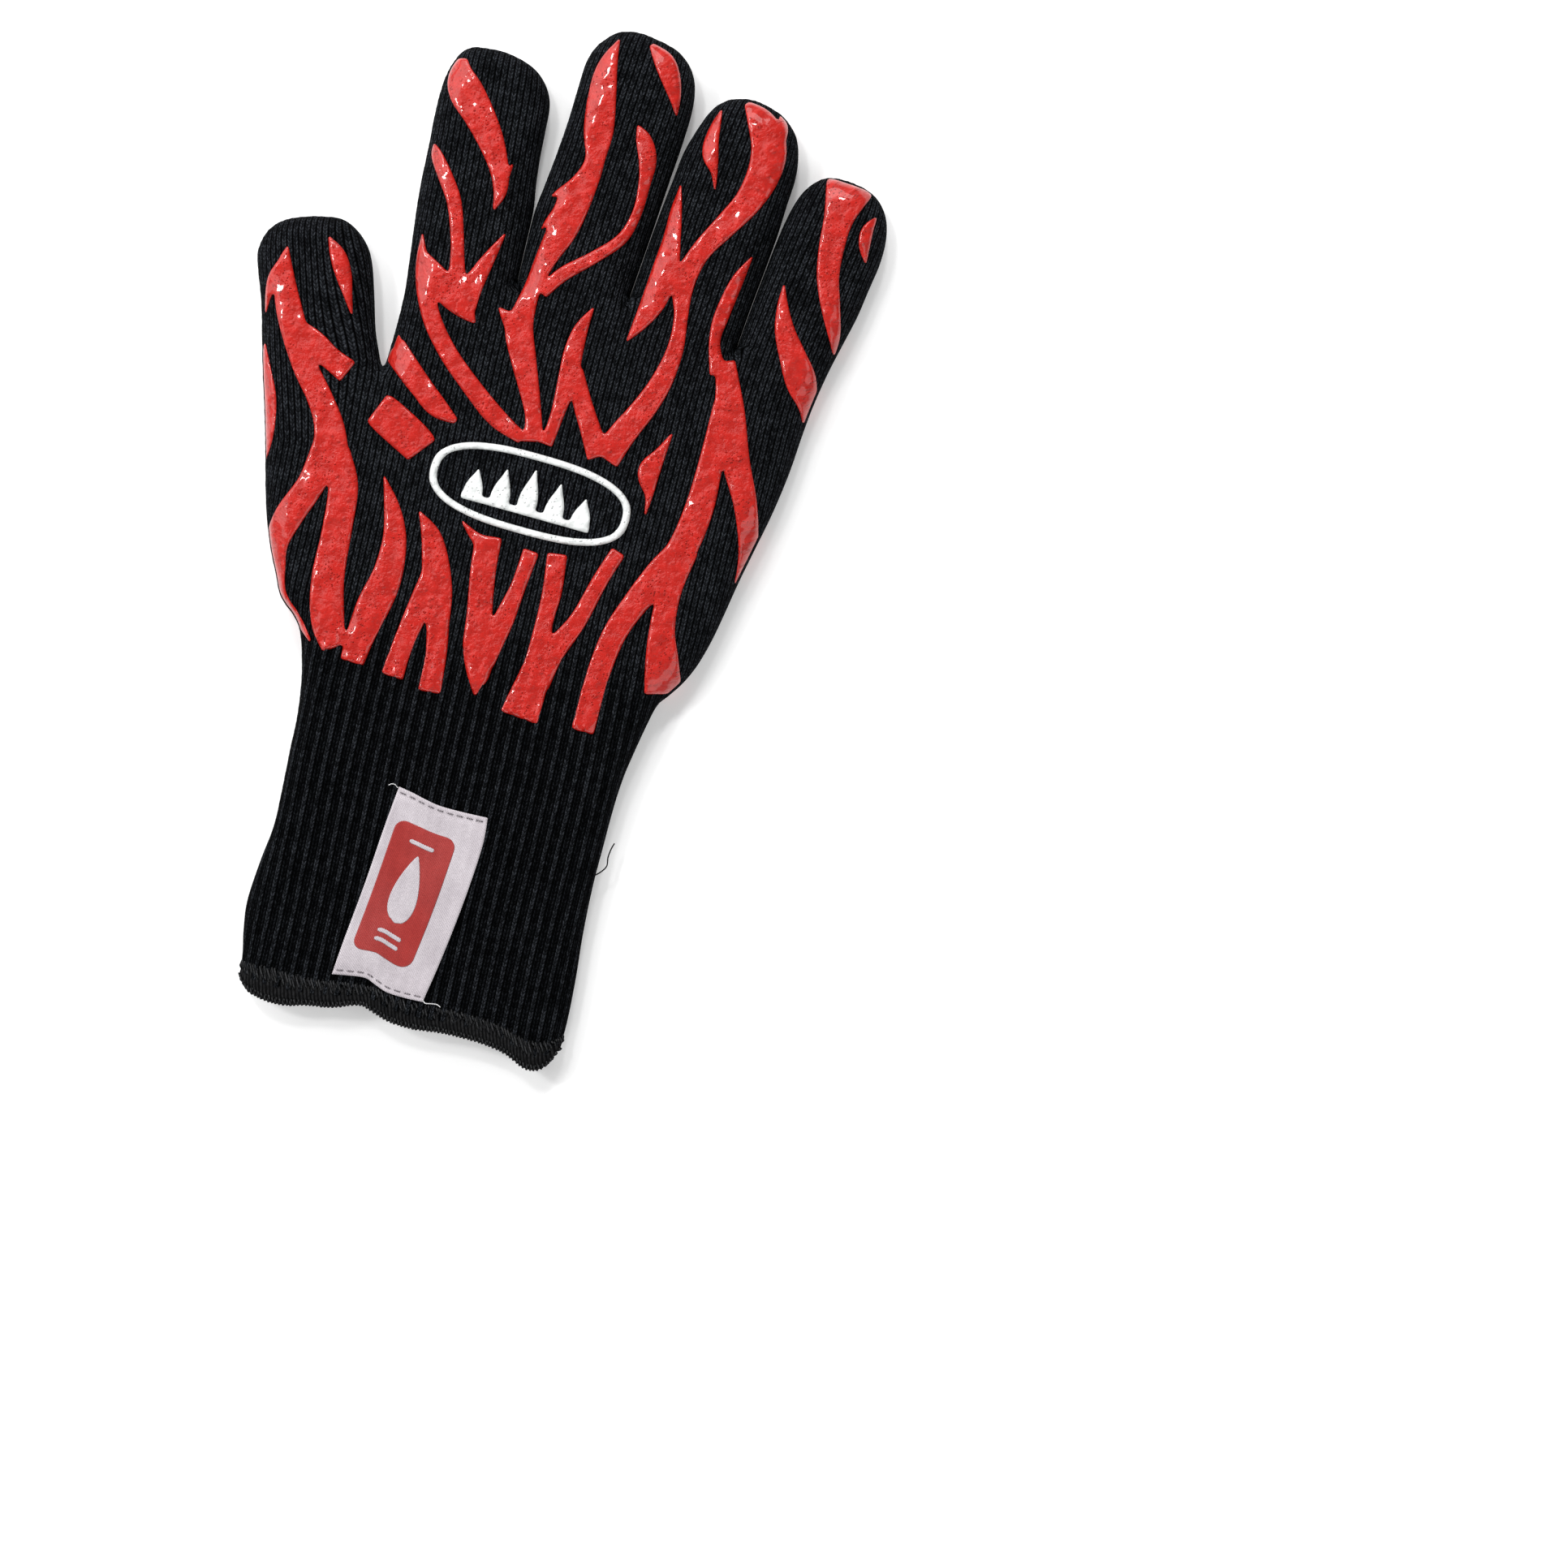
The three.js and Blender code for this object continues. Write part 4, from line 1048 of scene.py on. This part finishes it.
def raised_print(blades, height, rounding, side=1, softness=0.7, spacing=0.8):
    """A closed skin of print over the blades: its points and its faces."""

    def field_of(points):
        fields = [blade_field(blade, points) for blade in blades]
        return np.minimum(joined(fields, softness), GLOVE.depth(points) - PRINT_MARGIN)

    reach = flat([row for blade in blades for row in blade])
    low = (reach[:, :2] - reach[:, 2:] / 2).min(axis=0) - 2
    high = (reach[:, :2] + reach[:, 2:] / 2).max(axis=0) + 2
    loops = [relaxed(loop, spacing) for loop in contours(field_of, low, high, 0.5)]
    region = Ground([loop for loop in loops if len(loop) > 8])
    rows = (0.14, 0.42, 0.85, 1.4)
    spots, faces = fill(region.loops, region.depth, rows, [((1.3, 1.3), everywhere)], holds=region.holds)
    depth = region.depth(spots)
    depth = np.where(depth < ON_EDGE, 0, depth)
    x, y = spots.T
    base = face_height(spots, np.maximum(GLOVE.depth(spots), 0), side, PRINT_RIB_SHARE)
    swell = 1 + 0.13 * ripple(x, y, 7, 21) + 0.08 * ripple(x, y, 3, 22)
    top = base + side * (height * swell * bow(depth, rounding) - PRINT_SINK)
    points = layers(spots, top, base - side * PRINT_FOOT)
    skin = closed_skin(faces, depth <= 0)
    return points, skin[:, ::-1] if side < 0 else skin


def merged(parts):
    """Several (points, faces) pairs as one."""
    points, faces, first = [], [], 0
    for some_points, some_faces in parts:
        points.append(some_points)
        faces.append(some_faces + first)
        first += len(some_points)
    return np.vstack(points), np.vstack(faces)


def make_strips():
    """The grip strips on both faces, as one piece for each zone of the glove."""
    parts = []
    for side in (1, -1):
        for blades in STRIPS.values():
            parts.append(raised_print(blades, PRINT_HEIGHT, PRINT_ROUNDING, side))
    points, faces = merged(parts)
    normals = vertex_normals(points, faces)
    zones = zone(points[faces].mean(axis=1)[:, :2])
    uv = points[:, :2] + points[:, 2:] * 0.7
    pieces = {}
    for i, name in enumerate(ZONES):
        own = faces[zones == i]
        if len(own):
            pieces[name] = new_piece(name + "_grip", points, own, LOOKS["silicone"], uv, normals)
    return pieces


def badge_place(across, up):
    turn = math.radians(BADGE["turn"])
    c, s = math.cos(turn), math.sin(turn)
    x, y = BADGE["centre"]
    return x + across * c - up * s, y + across * s + up * c


def badge_ring():
    """The ring as two halves, whose ends overlap."""
    power = 2 / BADGE["shape"]
    overlap, step = 20, 10
    halves = []
    for first in (0, 180):
        rows = []
        for degrees in range(first - overlap, first + 180 + overlap + step, step):
            c, s = math.cos(math.radians(degrees)), math.sin(math.radians(degrees))
            across = BADGE["half_width"] * math.copysign(abs(c) ** power, c)
            up = BADGE["half_height"] * math.copysign(abs(s) ** power, s)
            rows.append((*badge_place(across, up), BADGE["stroke"]))
        halves.append(rows)
    return halves


def fire_sign():
    half, bottom, bar = FIRE_SIGN["half_width"], FIRE_SIGN["bottom"], FIRE_SIGN["bar"]
    middle = bottom + bar / 2
    blades = [[(*badge_place(x, middle), bar) for x in np.linspace(-half + 1, half - 1, 5)]]
    count = len(FIRE_SIGN["drops"])
    width = FIRE_SIGN["drop_width"]
    for i, height in enumerate(FIRE_SIGN["drops"]):
        x = ((i + 0.5) / count - 0.5) * 2 * half
        blades.append([(*badge_place(x, bottom + up * height), width * size) for up, size in DROP_SHAPE])
    return blades


def make_badge():
    made = {}
    for name, blades in (("badge_ring_print", badge_ring()), ("badge_sign_print", fire_sign())):
        points, faces = raised_print(blades, BADGE_HEIGHT, BADGE_ROUNDING, softness=0.5, spacing=0.6)
        uv = points[:, :2]
        made[name] = new_piece(name, points, faces, LOOKS["badge"], uv, vertex_normals(points, faces))
    return made


# ------------------------------------------------------------------------------- cuff: hem and label


def tube(path, radius, sides=6):
    """A round tube with closed ends along a 3D path: points and triangles."""
    path = flat(path)
    runs = np.gradient(path, axis=0)
    runs /= np.maximum(np.linalg.norm(runs, axis=1), 1e-9)[:, None]
    helper = np.where(np.abs(runs[:, 2:]) > 0.9, [[1.0, 0, 0]], [[0, 0, 1.0]])
    first = np.cross(runs, helper)
    first /= np.linalg.norm(first, axis=1)[:, None]
    second = np.cross(runs, first)
    angles = 2 * math.pi * np.arange(sides) / sides
    c, s = np.cos(angles)[:, None], np.sin(angles)[:, None]
    rings = [path[i] + radius * (c * first[i] + s * second[i]) for i in range(len(path))]
    points = np.vstack(rings)
    faces = []
    for i in range(len(path) - 1):
        for j in range(sides):
            k = (j + 1) % sides
            a, b = i * sides + j, i * sides + k
            faces += [(a, b, b + sides), (a, b + sides, a + sides)]
    last = (len(path) - 1) * sides
    for j in range(1, sides - 1):
        faces += [(0, j + 1, j), (last, last + j, last + j + 1)]
    return points, np.array(faces)[:, ::-1]


def mouth_path(spacing):
    """The closed line round the mouth on the knit's outside: its points and outward normals in XZ."""
    probe = np.linspace(-60, 80, 2801)
    inside = GLOVE.holds(np.column_stack([probe, np.full(len(probe), MOUTH_SECTION)]))
    left, right = probe[inside][0], probe[inside][-1]
    t = np.linspace(0, math.pi, 160)
    x = 0.5 * (left + right) - 0.5 * (right - left) * np.cos(t)
    places = np.column_stack([x, np.full(len(x), MOUTH_SECTION)])
    depth = np.maximum(GLOVE.depth(places), 0)
    depth[[0, -1]] = 0
    rise_up = SEAM_HEIGHT + (MOUTH_FACE - SEAM_HEIGHT) * bow(depth, FACE_REACH)
    rise_down = SEAM_HEIGHT - (SEAM_HEIGHT - BACK) * bow(depth, BACK_REACH)
    loop = np.vstack([np.column_stack([x, rise_up]), np.column_stack([x, rise_down])[::-1][1:-1]])
    loop = evenly(np.vstack([loop, loop[:1]]), spacing, closed=True)
    run = np.roll(loop, -1, axis=0) - np.roll(loop, 1, axis=0)
    run /= np.linalg.norm(run, axis=1)[:, None]
    return loop, np.stack([-run[:, 1], run[:, 0]], axis=1)


def hem_place(spot, normal, height, out):
    """A point of the hem: at a share of its height, 0 at the edge of the mouth, and out from the wall."""
    low, high = follow(HEM_BOTTOM, spot[:, 0]), follow(HEM_TOP, spot[:, 0])
    base = spot + normal * (out - HEM_SINK)[:, None]
    return np.column_stack([base[:, 0], low + (high - low) * height, base[:, 1]])


def hem_band():
    """The wound body of the hem, a thick ring round the mouth with a ridge for each turn of yarn."""
    spots, normals = mouth_path(HEM_PITCH / HEM_STEPS)
    count = len(spots)
    sides = HEM_SIDES
    reach = np.arange(count) / count * round(count / HEM_STEPS)
    rows = []
    for k in range(sides):
        angle = 2 * math.pi * k / sides
        height = 0.5 - 0.5 * math.copysign(abs(math.cos(angle)) ** 0.7, math.cos(angle))
        out = HEM_HALF_THICKNESS * math.copysign(abs(math.sin(angle)) ** 0.7, math.sin(angle))
        ridge = 0.17 * np.sin(2 * math.pi * (reach + 0.9 * height)) * (1 if abs(out) > 0.2 else 0.4)
        uneven = 0.14 * ripple(spots[:, 0], spots[:, 1] + k, 5, 31)
        grown = out + math.copysign(1, out) * (ridge + uneven)
        rows.append(hem_place(spots, normals, np.full(count, height), grown))
    points = np.stack(rows, axis=1).reshape(-1, 3)
    faces = []
    for i in range(count):
        j = (i + 1) % count
        for k in range(sides):
            m = (k + 1) % sides
            faces.append((i * sides + k, i * sides + m, j * sides + m, j * sides + k))
    uv = np.stack([np.repeat(reach * HEM_PITCH, sides), np.tile(np.arange(sides) * 0.9, count)], axis=1)
    return points, np.array(faces), uv


def hem_stitches():
    """The overlock yarn: a slanted stitch for each turn along the hem's upper edge, and the loops that
    close round its lower edge."""
    spots, normals = mouth_path(HEM_PITCH)
    draw = np.random.RandomState(41)
    parts = []
    count = len(spots)
    for i in range(count):
        j = (i + 1) % count
        tilt = draw.uniform(-0.15, 0.15)
        # Each row: the turn it is at, its share of the hem's height, and how far out it lies.
        for rows in (
            [(i, 1.06, 0.75), (i, 1.0, 1.6), (j, 0.8 + tilt, 2.0), (j, 0.68 + tilt, 1.5)],
            [(i, 0.2, 1.8), (i, 0.07, 1.5), (i, 0.0, 0.6), (i, 0.0, -0.6), (i, 0.07, -1.5)],
        ):
            at = [row[0] for row in rows]
            height = flat([row[1] for row in rows])
            out = flat([row[2] for row in rows])
            path = hem_place(spots[at], normals[at], height, out)
            path = path + np.array([draw.uniform(-0.12, 0.12), 0, 0])
            parts.append(tube(path, 0.42 + draw.uniform(-0.06, 0.06), 6))
    return merged(parts)


def share_of(line, t):
    """Points at shares t of a line's length."""
    fine = smooth_line(line, 0.5)
    reach = np.linspace(0, 1, len(fine))
    return np.stack([np.interp(t, reach, column) for column in fine.T], axis=-1)


def label_spot(a, b):
    """The place of the label's point at shares a across and b up: between its four curved sides."""
    left, right = share_of(LABEL_SIDES["left"], b), share_of(LABEL_SIDES["right"], b)
    bottom, top = share_of(LABEL_SIDES["bottom"], a), share_of(LABEL_SIDES["top"], a)
    c00, c10 = flat(LABEL_SIDES["bottom"][0]), flat(LABEL_SIDES["bottom"][-1])
    c01, c11 = flat(LABEL_SIDES["top"][0]), flat(LABEL_SIDES["top"][-1])
    a, b = a[..., None], b[..., None]
    rounds = (1 - b) * bottom + b * top + (1 - a) * left + a * right
    return rounds - ((1 - a) * (1 - b) * c00 + a * (1 - b) * c10 + (1 - a) * b * c01 + a * b * c11)


def label_height(a, b, spots):
    """The label rests on the ribs: it dips a little between them and lifts at its free long sides."""
    x, y = spots.T
    top = face_line(y) + 0.3 * ripple(x, y, 46, 11)
    lift = 0.7 * np.abs(2 * a - 1) ** 3 * np.sin(math.pi * b)
    ribbing = 0.1 * ribs(spots, knit_lines(spots)[:, 0])
    wave = 0.22 * np.sin(9 * b + 3 * a) + 0.14 * np.sin(17 * b - 5 * a) + ribbing
    pinch = -0.3 * sum(np.exp(-(((b - seam) / 0.02) ** 2)) for seam in SEAM_SHARES.values())
    return top + LABEL_LIFT + lift + wave + pinch


def on_label(a, b, above=0.0):
    """The points above the label's face at shares a across and b up."""
    spots = label_spot(a, b)
    return np.column_stack([spots, label_height(a, b, spots) + above])


def sheet_skin(columns, rows, place, thickness):
    """A thin closed sheet over a grid of shares, from a function that gives its upper points."""
    a, b = (values.ravel() for values in np.meshgrid(np.linspace(0, 1, columns), np.linspace(0, 1, rows)))
    upper = place(a, b)
    lower = upper - np.array([0, 0, thickness])
    count = columns * rows
    faces = []
    for j in range(rows - 1):
        for i in range(columns - 1):
            k = j * columns + i
            quad = (k, k + 1, k + columns + 1, k + columns)
            faces.append(quad)
            faces.append(tuple(count + n for n in reversed(quad)))
    rim = list(range(columns)) + [j * columns + columns - 1 for j in range(1, rows)]
    rim += [(rows - 1) * columns + i for i in range(columns - 2, -1, -1)]
    rim += [j * columns for j in range(rows - 2, 0, -1)]
    for here, there in zip(rim, rim[1:] + rim[:1]):
        faces.append((here, count + here, count + there, there))
    uv = np.stack([a * LABEL_SIZE[0], b * LABEL_SIZE[1]], axis=1)
    return np.vstack([upper, lower]), np.array(faces), np.vstack([uv, uv])


def rounded_box(centre, half, corner):
    """The outline of a box with round corners, anticlockwise."""
    rows = []
    for quarter in range(4):
        x = half[0] - corner if quarter in (0, 3) else corner - half[0]
        y = half[1] - corner if quarter in (0, 1) else corner - half[1]
        for degrees in range(0, 91, 15):
            angle = math.radians(90 * quarter + degrees)
            rows.append((centre[0] + x + corner * math.cos(angle), centre[1] + y + corner * math.sin(angle)))
    return evenly(np.vstack([rows, rows[:1]]), 0.8, closed=True)


def applique(outline, lift, thickness):
    """A thin flat shape on the label, from its outline in label millimetres."""
    region = Ground([outline])
    steps = [((0.9, 0.9), everywhere)]
    spots, faces = fill([outline], region.depth, (0.25,), steps, holds=region.holds)
    a, b = spots[:, 0] / LABEL_SIZE[0], spots[:, 1] / LABEL_SIZE[1]
    at_edge = region.depth(spots) < ON_EDGE
    upper = on_label(a, b, np.where(at_edge, lift - 0.06, lift))
    lower = on_label(a, b, lift - thickness)
    return np.vstack([upper, lower]), closed_skin(faces, at_edge), np.vstack([spots, spots])


def label_drop():
    """The outline of the plain drop on the label's patch."""
    steps = LABEL_DROP["steps"]
    heights = np.concatenate([np.linspace(0, 1, steps), np.linspace(1, 0, steps)[1:-1]])
    sides = np.where(np.arange(len(heights)) < steps, 1, -1)
    width = LABEL_DROP["half_width"] * np.sin(math.pi * heights**0.62) ** 0.8
    x = PATCH["centre"][0] + sides * width
    line = np.column_stack([x, LABEL_DROP["foot"] + LABEL_DROP["height"] * heights])
    return evenly(np.vstack([line, line[:1]]), 0.8, closed=True)


def make_label_seams():
    """The row of stitches at the label's top and the one at its bottom."""
    across, rise = flat(STITCH).T
    seams = {}
    for name, height in SEAM_SHARES.items():
        parts = []
        for i in range(SEAM_STITCHES["count"]):
            a = SEAM_STITCHES["first"] + i * SEAM_STITCHES["pitch"] + across
            path = on_label(a, np.full(len(a), height), 0.1)
            path[:, 2] += rise
            parts.append(tube(path, 0.2))
        points, faces = merged(parts)
        seams[name] = new_piece(name, points, faces, LOOKS["thread"], points[:, :2])
    return seams


def make_label():
    points, faces, uv = sheet_skin(40, 76, on_label, LABEL_THICKNESS)
    label = new_piece("woven_label_sheet", points, faces, LOOKS["satin"], uv)
    outline = rounded_box(PATCH["centre"], PATCH["half"], PATCH["corner"])
    points, faces, uv = applique(outline, 0.1, 0.2)
    patch = new_piece("label_red_patch", points, faces, LOOKS["satin_red"], uv)
    middle = PATCH["centre"][0]
    shapes = [rounded_box((middle, y), BARS["half"], BARS["corner"]) for y in BARS["heights"]]
    shapes.append(label_drop())
    made = [applique(shape, 0.2, 0.14) for shape in shapes]
    points, faces = merged([(points, faces) for points, faces, _ in made])
    mark = new_piece("label_mark", points, faces, LOOKS["satin"], np.vstack([uv for _, _, uv in made]))
    return label, patch, mark, make_label_seams()


def make_loose_yarn():
    """Ends of yarn left by the maker: one at the cuff's side and two at the label."""
    black = [(63.2, 70, 7.4), (65, 71.6, 8), (66.6, 74, 8.6), (66.4, 77, 8.8), (66.8, 80, 8.4), (67.4, 82, 8)]
    white = [(17.2, 17.4, 13.6), (18.4, 16.4, 14), (20, 16.6, 13.7), (22.2, 16.8, 13.3), (23.6, 16.2, 13.3)]
    corner = [(-6.2, 84, 16.4), (-7.4, 84.9, 16.8), (-8.6, 84.8, 16.5), (-9.4, 84.2, 16.2)]
    made = []
    for name, path, radius, look in (
        ("loose_yarn", black, 0.24, "hem"),
        ("label_loose_thread_bottom", white, 0.17, "white_yarn"),
        ("label_loose_thread_top", corner, 0.15, "white_yarn"),
    ):
        line = smooth_line(path, 0.4)
        points, faces = tube(line, radius, 7)
        made.append(new_piece(name, points, faces, LOOKS[look], points[:, :2]))
    return made


def make_liner():
    """The cotton liner, a thinner bag inside the knit that ends in the hem."""
    settled = 0.15

    def depth_of(points):
        return np.minimum(GLOVE.depth(points) - LINER_INSET, points[:, 1] - mouth_line(points[:, 0]))

    low = (GLOVE_LINE[:, 0].min(), 0)
    loops = [relaxed(loop, 2.0) for loop in contours(depth_of, low, GLOVE_LINE.max(axis=0), 1.0)]
    spots, faces = fill(loops, depth_of, (0.3, 1.1, 2.6), [((3.2, 3.2), everywhere)])
    depth = GLOVE.depth(spots) - LINER_INSET
    depth = np.where(depth < settled, 0, depth)
    top = face_line(spots[:, 1]) - LINER_DROP
    upper = SEAM_HEIGHT + (top - SEAM_HEIGHT) * bow(depth, FACE_REACH)
    lower = SEAM_HEIGHT - (SEAM_HEIGHT - BACK - LINER_DROP) * bow(depth, BACK_REACH)
    points = layers(spots, upper, lower)
    skin = closed_skin(faces, depth <= 0)
    normals = vertex_normals(points, skin)
    uv = np.vstack([knit_lines(spots, 1), knit_lines(spots, -1)])
    zones = zone(points[skin].mean(axis=1)[:, :2])
    return {
        name: new_piece(name + "_lining", points, skin[zones == i], LOOKS["liner"], uv, normals)
        for i, name in enumerate(ZONES)
    }


# ------------------------------------------------------------------------------------ put together


def segment_name(zone_name):
    """The CAD segment that a zone of the knit stands for."""
    return zone_name.replace("_root", "_base")


def dress_glove():
    knit = make_knit()
    for name, piece in knit.items():
        if name != "wrist":
            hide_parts(segment_name(name) + "_shell")
        follow_zone(piece, name)
    grips = [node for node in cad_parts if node.startswith("grip_")]
    for name, piece in make_strips().items():
        nodes = [node for node in grips if "_on_" + segment_name(name) in node]
        if nodes:
            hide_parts(*nodes)
        follow_zone(piece, name)
    badge = make_badge()
    for name, node in (("badge_ring_print", "badge_ring"), ("badge_sign_print", "badge_fire_sign")):
        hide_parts(node)
        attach(badge[name], "palm")
    return knit


def dress_cuff(knit):
    points, faces, uv = hem_band()
    band = new_piece("hem_band", points, faces, LOOKS["hem"], uv)
    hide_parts("hem_binding")
    points, faces = hem_stitches()
    stitches = new_piece("hem_stitches", points, faces, LOOKS["chain"], points[:, :2])
    for piece in (band, stitches):
        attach(piece, "cuff")
    label, patch, mark, seams = make_label()
    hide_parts("woven_label")
    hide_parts("label_seam_upper")
    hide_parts("label_seam_lower")
    for piece in (label, patch, mark):
        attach(piece, "cuff")
    for piece in seams.values():
        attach(piece, "cuff")
    for piece, slot in zip(make_loose_yarn(), ("hem_yarn", "label_thread", "label_thread")):
        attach(piece, "cuff")


def line_glove():
    for name, piece in make_liner().items():
        if name != "wrist":
            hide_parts(segment_name(name) + "_liner")
        follow_zone(piece, name)


def area_light(name, place, size, power):
    """A rectangular lamp turned to the origin."""
    lamp = bpy.data.lights.new(name, "AREA")
    lamp.shape = "RECTANGLE"
    lamp.size, lamp.size_y = size
    lamp.energy = power
    made = bpy.data.objects.new(name, lamp)
    made.location = place
    made.rotation_euler = (-Vector(place)).to_track_quat("-Z", "Y").to_euler()
    bpy.context.collection.objects.link(made)


def make_stage():
    mesh = bpy.data.meshes.new("floor")
    far = FLOOR_REACH
    mesh.from_pydata([(-far, -far, 0), (far, -far, 0), (far, far, 0), (-far, far, 0)], [], [(0, 1, 2, 3)])
    mesh.materials.append(floor_look())
    floor = bpy.data.objects.new("floor", mesh)
    bpy.context.collection.objects.link(floor)
    for light in LIGHTS:
        area_light(*light)
    world = bpy.data.worlds.new("room")
    world.use_nodes = True
    sky = world.node_tree.nodes["Background"]
    sky.inputs["Color"].default_value = (1, 1, 1, 1)
    sky.inputs["Strength"].default_value = 0.1
    bpy.context.scene.world = world
    bpy.context.scene.view_settings.view_transform = "Standard"


def make_camera():
    lens = bpy.data.cameras.new("camera")
    lens.lens = CAMERA_LENS
    lens.sensor_width = SENSOR
    made = bpy.data.objects.new("camera", lens)
    height = CAMERA_WIDTH * CAMERA_LENS / SENSOR + VIEW_HEIGHT
    made.location = (*CAMERA_CENTRE, height)
    made.rotation_euler = (0, 0, math.radians(CAMERA_ROLL))
    bpy.context.collection.objects.link(made)
    bpy.context.scene.camera = made


make_camera()
make_stage()
dress_cuff(dress_glove())
line_glove()
